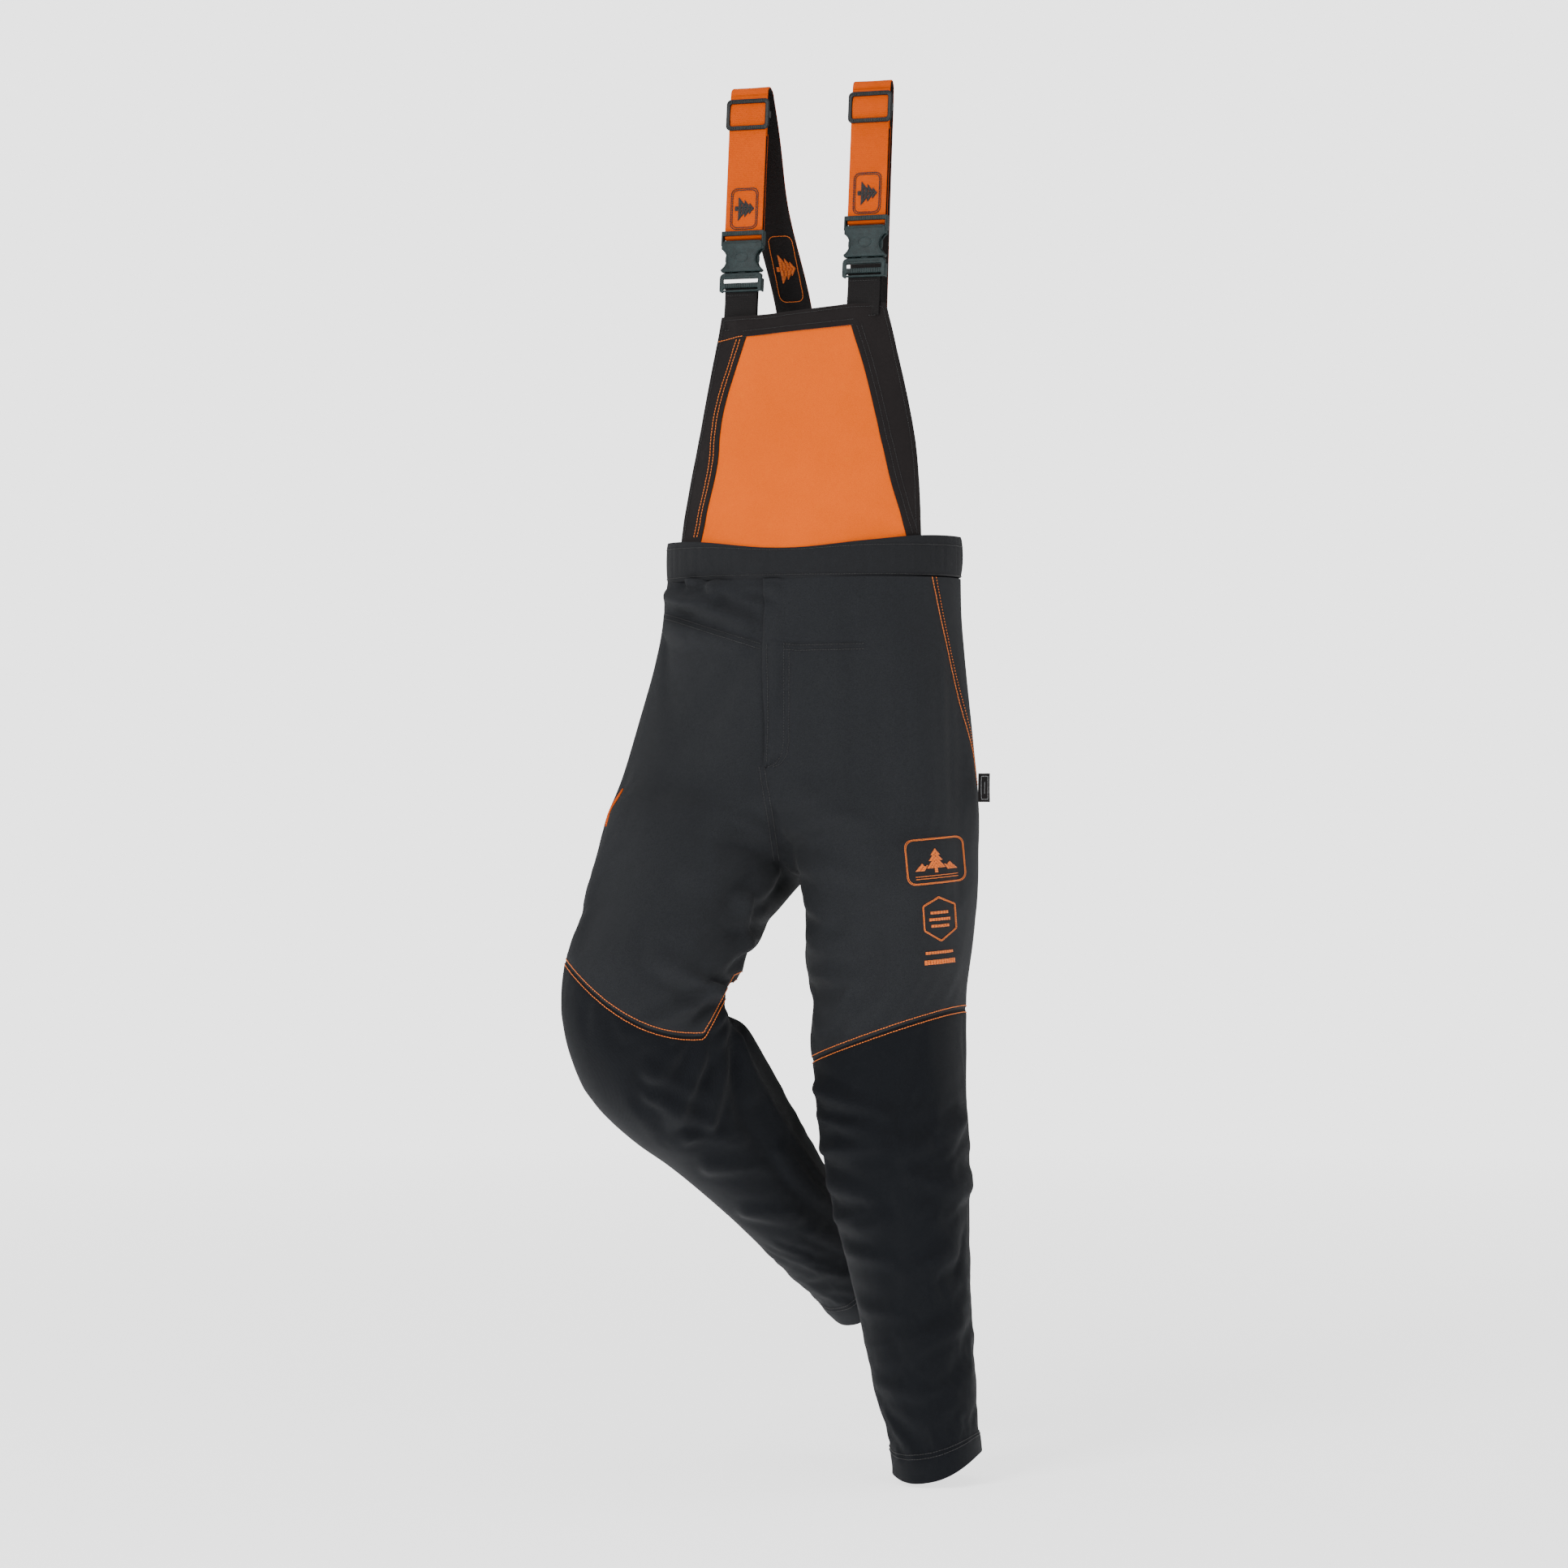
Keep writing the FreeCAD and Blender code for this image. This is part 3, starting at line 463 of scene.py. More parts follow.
def seam_angle(row, g, front):
    """The angle at which a ring meets the plane between the legs."""
    angles = np.linspace(0.3 * math.pi, math.pi, 400) * (-1 if front else 1)
    x = ring_points(row, angles)[:, 0] * g
    below = np.nonzero(x < 0)[0]
    return angles[below[0]] if len(below) else angles[-1]


def ring_rows(side, at):
    table = spline(STATIONS[side], at)
    rows = np.column_stack([at, table])
    for row in rows:
        row[4:7] = unit(row[4:7])
        row[7:10] = unit(row[7:10])
    return rows


def make_skin():
    """The whole trouser skin at rest: two halves that share the centre seam and the crotch."""
    upper_at = np.linspace(0.0455, CROTCH_AT, UPPER_ROWS)
    seams = {}
    for front in (True, False):
        ends = {}
        for side, g in SIGN.items():
            rows = ring_rows(side, upper_at)
            ends[side] = np.array([ring_points(r, np.array([seam_angle(r, g, front)]))[0] for r in rows])
        shared = 0.5 * (ends["left"] + ends["right"])
        shared[:, 0] = 0
        seams[front] = shared
    t = np.linspace(0, 1, INNER)[:, None]
    back_end, front_end = seams[False][-1], seams[True][-1]
    crotch = (1 - t) * back_end + t * front_end
    crotch[:, 2] -= (4 * t * (1 - t))[:, 0] * 0.022
    crotch[:, 0] = 0
    verts, faces, uvs, part, tags = [], [], [], [], []
    for side, g in SIGN.items():
        start = len(verts)
        rows = ring_rows(side, upper_at)
        around = np.linspace(-1, 1, OUTER)
        for k, row in enumerate(rows):
            lo, hi = seam_angle(row, g, True), seam_angle(row, g, False)
            angle = np.where(around < 0, -around * lo, around * hi)
            p = ring_points(row, angle)
            pull = smooth_step((np.abs(around) - 0.45) / 0.55)[:, None]
            miss = np.where(around[:, None] < 0, seams[True][k] - p[0], seams[False][k] - p[-1])
            p = p + pull * miss
            p[0], p[-1] = seams[True][k], seams[False][k]
            verts.extend(p)
            tags.extend((side, upper_at[k], a) for a in around)
        quads = grid_faces(UPPER_ROWS, OUTER)
        spans = [0.5, 0.5]
        for a, b, c, d in quads:
            r, col = divmod(a, OUTER)
            r2 = r + 1
            u0, u1 = (around[col]) * spans[0], (around[col + 1]) * spans[0]
            v0, v1 = -upper_at[r], -upper_at[r2]
            faces.append((a + start, b + start, c + start, d + start))
            uvs.append([(u0, v0), (u1, v0), (u1, v1), (u0, v1)])
            part.append((side, "hip"))
        inner_start = len(verts)
        verts.extend(crotch)
        tags.extend((side, CROTCH_AT, 2.0) for _ in crotch)
        # ring of the crotch row: the outer columns, then the inner ones back to the front
        top_ring = [start + (UPPER_ROWS - 1) * OUTER + c for c in range(OUTER)]
        top_ring += [inner_start + c for c in range(1, INNER - 1)]
        end_s = STATIONS[side][-1, 0]
        count = int(round((end_s - CROTCH_AT) / 0.0072))
        lower_at = np.linspace(CROTCH_AT, end_s, count + 1)[1:]
        rows = ring_rows(side, lower_at)
        top_row = ring_rows(side, np.array([CROTCH_AT]))[0]
        lo, hi = seam_angle(top_row, g, True), seam_angle(top_row, g, False)
        ring_angle = np.concatenate([
            np.where(around < 0, -around * lo, around * hi),
            np.linspace(hi, 2 * math.pi + lo, INNER)[1:-1],
        ])
        top_ideal = ring_points(top_row, ring_angle)
        top_real = np.array([verts[i] for i in top_ring])
        drift = top_real - top_ideal
        previous = top_ring
        ring_length = 0.70
        for k, row in enumerate(rows):
            p = ring_points(row, ring_angle)
            fade = math.exp(-((lower_at[k] - CROTCH_AT) / 0.035) ** 2)
            p = p + drift * fade
            if lower_at[k] < 0.50:
                p[:, 0] = np.where(p[:, 0] * g < 0.0015, 0.0015 * g + (p[:, 0] - 0.0015 * g) * 0.12, p[:, 0])
            # the hem is cut lower in front than behind
            near_hem = smooth_step((lower_at[k] - end_s + 0.075) / 0.075)
            along = unit(HEM[side] - KNEE[side])
            tilt = -0.016 * np.sin(ring_angle) - 0.011 * np.cos(ring_angle) ** 2 - 0.003
            p = p + np.outer(tilt * near_hem, along)
            ids = list(range(len(verts), len(verts) + ROUND))
            verts.extend(p)
            tags.extend((side, lower_at[k], a) for a in list(around) + [2.0] * (INNER - 2))
            v0 = -(CROTCH_AT if k == 0 else lower_at[k - 1])
            v1 = -lower_at[k]
            for c in range(ROUND):
                n = (c + 1) % ROUND
                faces.append((previous[c], previous[n], ids[n], ids[c]))
                u0, u1 = c / ROUND * ring_length, (c + 1) / ROUND * ring_length
                uvs.append([(u0, v0), (u1, v0), (u1, v1), (u0, v1)])
                part.append((side, "leg"))
            previous = ids
    return np.array(verts), faces, uvs, part, tags


def weld(verts, faces, uvs, part, tags):
    """Merges the vertices that the halves share, and turns every face outwards."""
    keys, new_index, kept = {}, [], []
    for i, v in enumerate(verts):
        key = tuple(np.round(v, 6)) if abs(v[0]) < 1e-9 else i
        if key not in keys:
            keys[key] = len(kept)
            kept.append(i)
        new_index.append(keys[key])
    out_faces, out_uvs = [], []
    for f, uv, (side, _) in zip(faces, uvs, part):
        f = [new_index[i] for i in f]
        if side == "left":
            f, uv = f[::-1], uv[::-1]
        out_faces.append(f)
        out_uvs.append(uv)
    return verts[kept], out_faces, out_uvs, [tags[i] for i in kept]


def with_values(obj, **fields):
    """Stores numbers on the vertices of obj."""
    for name, values in fields.items():
        attribute = obj.data.attributes.new(name, "FLOAT", "POINT")
        attribute.data.foreach_set("value", np.asarray(values, np.float32))


def values_of(obj, name):
    data = np.zeros(len(obj.data.vertices), np.float32)
    obj.data.attributes[name].data.foreach_get("value", data)
    return data.astype(float)


def simulate(obj, pin, growth, frames=20, cap=0.012, pressure=0.5, gravity=0.2, grow=0.06, bend=0.6):
    """Lets the cloth buckle where it has grown, and keeps each point within cap of its place."""
    rest = points_of(obj)
    for name, weights in (("pin", pin), ("grow", growth)):
        group = obj.vertex_groups.new(name=name)
        for i, w in enumerate(weights):
            if w > 0.001:
                group.add([i], float(min(w, 1.0)), "REPLACE")
    modifier = obj.modifiers.new("Cloth", "CLOTH")
    s = modifier.settings
    s.quality = 5
    s.mass = 0.25
    s.tension_stiffness = s.compression_stiffness = 22
    s.shear_stiffness = 9
    s.bending_stiffness = bend
    s.air_damping = 2.0
    s.vertex_group_mass = "pin"
    s.pin_stiffness = 1.0
    s.vertex_group_shrink = "grow"
    s.shrink_min = 0.0
    s.shrink_max = -grow
    s.use_pressure = True
    s.uniform_pressure_force = pressure
    s.effector_weights.gravity = gravity
    modifier.collision_settings.use_collision = False
    modifier.point_cache.frame_start = 1
    modifier.point_cache.frame_end = frames
    scene = bpy.context.scene
    scene.frame_end = frames
    for step in range(1, frames + 1):
        scene.frame_set(step)
    apply_modifiers(obj)
    scene.frame_set(1)
    moved = points_of(obj) - rest
    length = np.linalg.norm(moved, axis=1)[:, None] + 1e-9
    moved *= cap * np.tanh(length / cap) / length
    set_points(obj, rest + moved)
    for name in ("pin", "grow"):
        group = obj.vertex_groups.get(name)
        if group is not None:
            obj.vertex_groups.remove(group)


def set_points(obj, co):
    obj.data.vertices.foreach_set("co", np.asarray(co, np.float32).reshape(-1))
    obj.data.update()


def normals_of(obj):
    data = np.zeros(len(obj.data.vertices) * 3, np.float32)
    obj.data.vertex_normals.foreach_get("vector", data)
    return data.reshape(-1, 3).astype(float)


def fine_field(p, seed, scale, octaves=2):
    """Smooth pseudo-random values in -1..1 at points p, varying over about scale metres."""
    rng = np.random.default_rng(seed)
    total = np.zeros(len(p))
    weight = 0.0
    for octave in range(octaves):
        for _ in range(7):
            direction = unit(rng.normal(size=3))
            turn = 2 * math.pi / (scale / 2**octave) * rng.uniform(0.6, 1.25)
            total += np.sin(p @ direction * turn + rng.uniform(0, 6.28)) * 0.5**octave
            weight += 0.5**octave
    return total / weight * 2.2


def ridge(distance, width):
    """A soft fold profile: 1 on its line, slightly hollow beside it."""
    t = distance / width
    return np.exp(-t * t) - 0.35 * np.exp(-((np.abs(t) - 1.7) ** 2) * 1.6)


def line_distance(p, a, b):
    """Distance of points from a segment, and how far along it they are (0 to 1)."""
    a, b = np.asarray(a, float), np.asarray(b, float)
    d = b - a
    t = np.clip(((p - a) @ d) / (d @ d), 0, 1)
    return np.linalg.norm(p - a - t[:, None] * d, axis=1), t


VIEW_TURN = math.radians(20)
VIEW_SIDE = np.array([math.cos(VIEW_TURN), math.sin(VIEW_TURN), 0.0])
VIEW_INTO = np.array([-math.sin(VIEW_TURN), math.cos(VIEW_TURN), 0.0])


class Surface:
    """Finds points on a mesh as seen from a side."""

    def __init__(self, obj):
        self.tree = BVHTree.FromPolygons([v.co.copy() for v in obj.data.vertices],
                                         [tuple(p.vertices) for p in obj.data.polygons])

    def seen(self, side, up, turn=VIEW_TURN):
        """The first point met at a sideways place and height, looking from a turned camera."""
        across = Vector((math.cos(turn), math.sin(turn), 0))
        into = Vector((-math.sin(turn), math.cos(turn), 0))
        hit, normal, _, _ = self.tree.ray_cast(across * side + Vector((0, 0, up)) - into * 3.0, into)
        return hit, normal


def level_line(obj, field, level, keep=None):
    """The chains of (point, normal) where a vertex field crosses a level, on a quad mesh."""
    mesh = obj.data
    co, normal = points_of(obj), normals_of(obj)
    f = np.asarray(field) - level
    links = {}
    for poly in mesh.polygons:
        ids = list(poly.vertices)
        if keep is not None and not all(keep[i] for i in ids):
            continue
        crossed = []
        for a, b in zip(ids, ids[1:] + ids[:1]):
            if (f[a] > 0) != (f[b] > 0):
                crossed.append((min(a, b), max(a, b)))
        if len(crossed) == 2:
            links.setdefault(crossed[0], []).append(crossed[1])
            links.setdefault(crossed[1], []).append(crossed[0])
    chains, used = [], set()
    starts = sorted(k for k, v in links.items() if len(v) == 1) + sorted(links)
    for start in starts:
        if start in used:
            continue
        chain, current = [], start
        while current is not None and current not in used:
            used.add(current)
            chain.append(current)
            current = next((n for n in links[current] if n not in used), None)
        points = []
        for a, b in chain:
            t = f[a] / (f[a] - f[b])
            points.append((Vector(co[a] * (1 - t) + co[b] * t),
                           Vector(normal[a] * (1 - t) + normal[b] * t).normalized()))
        if len(chain) > 4:
            closed = chain[0] in links[chain[-1]]
            chains.append(points + points[:1] if closed else points)
    return chains


def resampled(line, step):
    """Points and normals at even steps along a line of (point, normal)."""
    p = np.array([tuple(a) for a, _ in line])
    n = np.array([tuple(b) for _, b in line])
    lengths = np.concatenate([[0], np.cumsum(np.linalg.norm(np.diff(p, axis=0), axis=1))])
    count = max(2, int(lengths[-1] / step) + 1)
    at = np.linspace(0, lengths[-1], count)
    q = np.column_stack([np.interp(at, lengths, p[:, k]) for k in range(3)])
    m = np.column_stack([np.interp(at, lengths, n[:, k]) for k in range(3)])
    return q, m / (np.linalg.norm(m, axis=1)[:, None] + 1e-9), at


def shifted(line, sideways, lift=0.0):
    """A line moved across itself on its surface."""
    q, m, _ = resampled(line, 0.003)
    tangent = np.gradient(q, axis=0)
    across = np.cross(m, tangent)
    across /= np.linalg.norm(across, axis=1)[:, None] + 1e-9
    r = q + across * sideways + m * lift
    return [(Vector(a), Vector(b)) for a, b in zip(r, m)]


class Sewing:
    """Collects stitches into one mesh."""

    def __init__(self):
        self.verts, self.faces = [], []

    def stitch(self, a, b, normal, radius):
        """One thread loop from a to b that rises a little from the cloth."""
        a, b, normal = np.array(a), np.array(b), np.array(normal)
        along = unit(b - a)
        side = unit(np.cross(normal, along))
        base = len(self.verts)
        for t, lift, thick in ((0.0, -0.0002, 0.55), (0.22, 0.0003, 0.95), (0.78, 0.0003, 0.95),
                               (1.0, -0.0002, 0.55)):
            centre = a + (b - a) * t + normal * lift
            for k in range(6):
                angle = k * math.pi / 3
                self.verts.append(centre + side * radius * thick * math.cos(angle) + normal * radius
                                  * thick * math.sin(angle))
        for r in range(3):
            for k in range(6):
                n = (k + 1) % 6
                self.faces.append((base + r * 6 + k, base + r * 6 + n, base + (r + 1) * 6 + n,
                                   base + (r + 1) * 6 + k))
        self.faces.append(tuple(base + k for k in range(5, -1, -1)))
        self.faces.append(tuple(base + 18 + k for k in range(6)))

    def run(self, line, pitch=0.0034, share=0.78, radius=0.00045, lift=0.0003):
        if len(line) < 2:
            return
        q, m, _ = resampled(line, pitch)
        for i in range(len(q) - 1):
            wander = (RNG.random(3) - 0.5) * 0.00025
            start = q[i] + m[i] * lift + wander
            end = q[i] + (q[i + 1] - q[i]) * share + m[i] * lift + wander
            if np.linalg.norm(end - start) > 1e-5:
                self.stitch(start, end, m[i], radius)

    def make(self, name, material):
        obj = new_object(name, self.verts, self.faces, material)
        return obj


# ---------------------------------------------------------------- how pieces follow the bodies

KNEE_REACH = {"left": 0.100, "right": 0.090}
CREASE = {
    "left": (np.array([0.004, 0.0, -0.385]), unit(np.array([0.52, -0.05, -0.85])), 0.115),
    "right": (np.array([-0.004, -0.020, -0.385]), unit(np.array([-0.52, -0.35, -0.78])), 0.115),
}


def follow(obj, key):
    """Bakes a trouser, bib or back piece's placement into its mesh, or attaches any other piece to the body
    named by its key.
    """
    kind, _, side = key.partition("_")
    if kind == "hip":
        start, way, length = CREASE[side]
        tuple(start)
        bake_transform(obj)
    elif kind == "knee":
        way = unit(unit(HEM[side] - KNEE[side]) - unit(HIP[side] - KNEE[side]))
        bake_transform(obj)
    elif kind == "bib":
        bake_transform(obj)
    elif kind == "back":
        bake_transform(obj)
    else:
        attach(obj, key)
    return obj


# ---------------------------------------------------------------- the trousers

def knee_fold(side):
    """The pivot of a knee and the direction across its fold, down the leg."""
    pivot = np.array(record_joints[f"{side}_knee"]["pos_m"])
    return pivot, unit(unit(HEM[side] - KNEE[side]) - unit(HIP[side] - KNEE[side]))


def seam_field(p, side):
    """Positive above the knee seam and negative below it."""
    if side == "left":
        return p[:, 2] + 0.633 - 0.36 * (p[:, 0] - 0.02)
    across = p @ VIEW_SIDE
    sag = 0.024 * (1 - np.clip((across + 0.213) / 0.084, -1.5, 1.5) ** 2)
    hidden = 1.7 * np.clip(across + 0.131, 0, 0.035)
    return p[:, 2] + 0.5525 + 0.506 * (across + 0.213) + sag - hidden


# Creases in the cloth as seen from the front: start, end, half width, height.
CREASES = [
    # crumpled yoke at the right hip
    ((-0.178, -0.060), (-0.080, -0.100), 0.008, 0.0080),
    ((-0.185, -0.078), (-0.120, -0.070), 0.007, 0.0072),
    ((-0.150, -0.050), (-0.060, -0.080), 0.007, 0.0070),
    ((-0.120, -0.055), (-0.045, -0.062), 0.006, 0.0060),
    ((-0.185, -0.100), (-0.090, -0.125), 0.009, 0.0060),
    # right groin and inner thigh
    ((-0.045, -0.335), (-0.150, -0.318), 0.020, 0.0028),
    ((-0.050, -0.370), (-0.150, -0.400), 0.014, 0.0048),
    ((-0.048, -0.395), (-0.105, -0.450), 0.010, 0.0055),
    ((-0.060, -0.350), (-0.120, -0.345), 0.010, 0.0040),
    ((-0.090, -0.430), (-0.075, -0.520), 0.010, 0.0050),
    # left groin
    ((-0.030, -0.350), (0.050, -0.330), 0.012, 0.0050),
    ((-0.025, -0.385), (0.040, -0.405), 0.011, 0.0045),
    ((-0.022, -0.415), (0.015, -0.455), 0.009, 0.0045),
    # behind the bent knee and down the calf
    ((-0.110, -0.560), (-0.190, -0.640), 0.009, 0.0060),
    ((-0.108, -0.570), (-0.165, -0.690), 0.009, 0.0060),
    ((-0.100, -0.575), (-0.120, -0.700), 0.008, 0.0055),
    ((-0.095, -0.570), (-0.075, -0.665), 0.008, 0.0050),
    ((-0.120, -0.548), (-0.225, -0.590), 0.010, 0.0050),
    ((-0.112, -0.540), (-0.190, -0.500), 0.010, 0.0050),
    # the calf and the front of the bent shin
    ((-0.195, -0.640), (-0.130, -0.665), 0.008, 0.0028),
    ((-0.200, -0.665), (-0.120, -0.700), 0.008, 0.0030),
    ((-0.150, -0.715), (-0.085, -0.715), 0.008, 0.0028),
    ((-0.125, -0.750), (-0.050, -0.755), 0.008, 0.0026),
    ((-0.090, -0.600), (-0.030, -0.700), 0.008, 0.0034),
    ((-0.040, -0.735), (0.010, -0.800), 0.008, 0.0030),
    ((-0.080, -0.810), (-0.020, -0.815), 0.008, 0.0024),
    # the bent thigh
    ((-0.060, -0.445), (-0.190, -0.470), 0.010, 0.0026),
    ((-0.080, -0.480), (-0.150, -0.530), 0.010, 0.0026),
    # inner side of the straight knee
    ((0.000, -0.660), (0.085, -0.690), 0.010, 0.0060),
    ((0.000, -0.695), (0.095, -0.712), 0.009, 0.0055),
    ((0.000, -0.735), (0.080, -0.728), 0.010, 0.0065),
    ((0.005, -0.770), (0.070, -0.790), 0.010, 0.0055),
    ((0.015, -0.815), (0.075, -0.812), 0.011, 0.0050),
    ((0.175, -0.700), (0.110, -0.730), 0.010, 0.0040),
    ((0.180, -0.780), (0.120, -0.760), 0.012, 0.0040),
    # the straight shin, and the left thigh beside the crotch
    ((0.020, -0.850), (0.090, -0.865), 0.009, 0.0034),
    ((0.165, -0.855), (0.105, -0.880), 0.010, 0.0026),
    ((0.045, -0.920), (0.105, -0.930), 0.009, 0.0024),
    ((0.170, -0.940), (0.115, -0.965), 0.009, 0.0024),
    ((0.065, -1.010), (0.120, -1.020), 0.009, 0.0020),
    ((-0.010, -0.470), (0.045, -0.500), 0.010, 0.0030),
    ((-0.005, -0.520), (0.055, -0.530), 0.010, 0.0024),
]


def crease(p, normal, side):
    """Pushes the skin in or out along the creases of one leg."""
    facing = smooth_step(-(normal @ VIEW_INTO) * 2.2)
    place = np.column_stack([p @ VIEW_SIDE, np.zeros(len(p)), p[:, 2]])
    total = np.zeros(len(p))
    for a, b, width, height in CREASES:
        right = a[0] < -0.035
        if right != (side == "right"):
            continue
        distance, t = line_distance(place, (a[0], 0, a[1]), (b[0], 0, b[1]))
        bend = fine_field(place, int(abs(a[1]) * 1000), 0.09, 1) * width * 0.9
        total += ridge(distance + bend * 0.6, width) * height * 2.1 * (1 - 0.5 * t)
    return total * facing


def small_wrinkles(p, at, side):
    """Short shallow folds across a leg, in patches: many on the shin, few on the thigh."""
    total = np.zeros(len(p))
    low = smooth_step((at - 0.62) / 0.10)
    limbs = ((HIP[side], KNEE[side], 1 - low, 0.0009, 0.070), (KNEE[side], HEM[side], low, 0.0026, 0.044))
    for k, (start, end, share, height, length) in enumerate(limbs):
        down = unit(end - start)
        along = (p - start) @ down
        aside = p - start - np.outer(along, down)
        place = aside * 0.34 + np.outer(along + 0.45 * (aside @ VIEW_SIDE), down)
        fold = np.clip(1 - 1.5 * np.abs(fine_field(place, 31 + 7 * k + len(side), length, 2)), 0, 1) ** 1.6
        patch = smooth_step(0.55 + 1.1 * fine_field(p, 52 + k, 0.16, 1))
        total += fold * patch * share * height
    return total * smooth_step((at - 0.060) / 0.04)


def trouser_shape():
    """The skin with its buckles and creases, twice as fine as it is simulated."""
    verts, faces, uvs, part, tags = make_skin()
    verts, faces, uvs, tags = weld(verts, faces, uvs, part, tags)
    flat_uv = [corner for quad in uvs for corner in quad]
    obj = new_object("trouser_skin", verts, faces, uvs=flat_uv)
    side = np.array([1.0 if t[0] == "left" else -1.0 for t in tags])
    at = np.array([t[1] for t in tags])
    around = np.array([t[2] for t in tags])
    with_values(obj, side=side, at=at, around=around)

    # even out the joins between the legs
    co = points_of(obj)
    mesh_edges = np.array([tuple(e.vertices) for e in obj.data.edges])
    near_crotch = smooth_step(1.0 - np.linalg.norm((co - CROTCH_LOW) * (1, 0.6, 1), axis=1) / 0.12)
    near_groin = smooth_step(1.5 - np.linalg.norm((co - (-0.150, -0.130, -0.325)) * (0.8, 0.8, 1), axis=1)
                             / 0.095)
    for turn in range(60):
        total = np.zeros_like(co)
        count = np.zeros(len(co))
        for a, b in ((0, 1), (1, 0)):
            np.add.at(total, mesh_edges[:, a], co[mesh_edges[:, b]])
            np.add.at(count, mesh_edges[:, a], 1)
        mean = total / count[:, None]
        near = np.maximum(near_groin, near_crotch if turn < 14 else 0)
        co += (mean - co) * 0.6 * near[:, None]
    set_points(obj, co)
    normal = normals_of(obj)
    for name in HIP:
        mask = (side > 0) == (name == "left")
        push = crease(co, normal, name) + small_wrinkles(co, at, name)
        co += normal * (push * mask)[:, None]
    set_points(obj, co)

    ends = [STATIONS["left"][-1, 0], STATIONS["right"][-1, 0]]
    end = np.where(side > 0, ends[0], ends[1])
    pin = np.maximum(smooth_step((0.062 - at) / 0.012), smooth_step((at - end + 0.030) / 0.012))
    knee_side = np.where(side > 0, seam_field(co, "left"), seam_field(co, "right"))
    pin = np.maximum(pin, 0.75 * np.exp(-((knee_side / 0.006) ** 2)))
    pin = np.maximum(pin, 0.5 * np.exp(-((around / 0.02) ** 2)))
    growth = 0.22 + 0.12 * fine_field(co, 3, 0.22)
    for centre, radius, amount in GROWN:
        growth += amount * np.exp(-((np.linalg.norm(co - np.array(centre), axis=1) / radius) ** 2))
    growth *= smooth_step((at - 0.05) / 0.03) * smooth_step((end - 0.03 - at) / 0.05)
    simulate(obj, pin, np.clip(growth, 0, 1), frames=18, cap=0.011, pressure=0.9, grow=0.085)
    modified(obj, "SUBSURF", levels=1)
    return obj


GROWN = [
    ((-0.10, -0.10, -0.085), 0.07, 0.55),
    ((0.0, -0.05, -0.370), 0.07, 0.50),
    ((0.0, 0.10, -0.330), 0.09, 0.35),
    ((-0.09, -0.14, -0.540), 0.08, 0.75),
    ((-0.08, -0.12, -0.640), 0.09, 0.55),
    ((0.03, -0.06, -0.735), 0.10, 0.60),
    ((0.12, 0.05, -0.680), 0.09, 0.60),
    ((0.16, -0.06, -0.980), 0.09, 0.25),
    ((0.10, 0.10, -0.36), 0.10, 0.25),
    ((-0.10, 0.08, -0.40), 0.10, 0.25),
]


# Seams of the front yoke, as sideways place and height seen from the front.
YOKE_SEAMS = [
    [(-0.183, -0.083), (-0.120, -0.105), (-0.0640, -0.1230)],
    [(-0.0560, -0.1215), (-0.020, -0.1250), (0.061, -0.1235)],
    [(-0.0560, -0.2760), (-0.0470, -0.3300), (-0.0385, -0.3900)],
]


def finish_skin(obj):
    """Draws in the seams, then hands back points, normals and the fields that place things."""
    co, normal = points_of(obj), normals_of(obj)
    side, around, at = values_of(obj, "side"), values_of(obj, "around"), values_of(obj, "at")
    knee = np.where(side > 0, seam_field(co, "left"), seam_field(co, "right"))
    dip = 0.0016 * np.exp(-((knee / 0.0035) ** 2))
    seam_path = around - (-0.256 + (at - 0.0455) * 1.35)
    front_seam = (side > 0) & (at < 0.30)
    facing = smooth_step(-(normal @ VIEW_INTO) * 2.2)
    flat = np.column_stack([co @ VIEW_SIDE, np.zeros(len(co)), co[:, 2]])
    for seam in YOKE_SEAMS:
        for a, b in zip(seam[:-1], seam[1:]):
            distance, _ = line_distance(flat, (a[0], 0, a[1]), (b[0], 0, b[1]))
            dip += 0.0014 * np.exp(-((distance / 0.0028) ** 2)) * facing
    dip += np.where(front_seam, 0.0012 * np.exp(-((seam_path / 0.010) ** 2)), 0)
    co = co - normal * dip[:, None]
    set_points(obj, co)
    with_values(obj, below=-knee, side_seam=np.where(front_seam, seam_path, 9.0))
    return obj


def split_skin(obj, thick=0.0042):
    """Cuts the skin where nothing bends, gives each part an inside, and keeps the whole's shading."""
    mesh = obj.data
    co, normal = points_of(obj), normals_of(obj)
    side, at, below = values_of(obj, "side"), values_of(obj, "at"), values_of(obj, "below")
    quads = np.array([tuple(p.vertices) for p in mesh.polygons])
    uv = np.zeros(len(mesh.loops) * 2, np.float32)
    mesh.uv_layers["weave"].data.foreach_get("uv", uv)
    uv = uv.reshape(-1, 4, 2)
    middle = co[quads].mean(axis=1)
    quad_side = side[quads].mean(axis=1)
    quad_at = at[quads].mean(axis=1)
    pieces = {}
    for name in HIP:
        pivot, way = knee_fold(name)
        beyond = ((middle - pivot) @ way > -KNEE_REACH[name] - 0.003) & (quad_at > 0.40)
        mine = quad_side > 0 if name == "left" else quad_side <= 0
        for kind, mask in (("hip", mine & ~beyond), ("knee", mine & beyond)):
            chosen = np.nonzero(mask)[0]
            pieces[f"{kind}_{name}"] = shell_piece(
                f"trousers_{'upper' if kind == 'hip' else 'lower'}_{name}", co, normal, below,
                quads[chosen], uv[chosen], thick
            )
    bpy.data.objects.remove(obj)
    return pieces


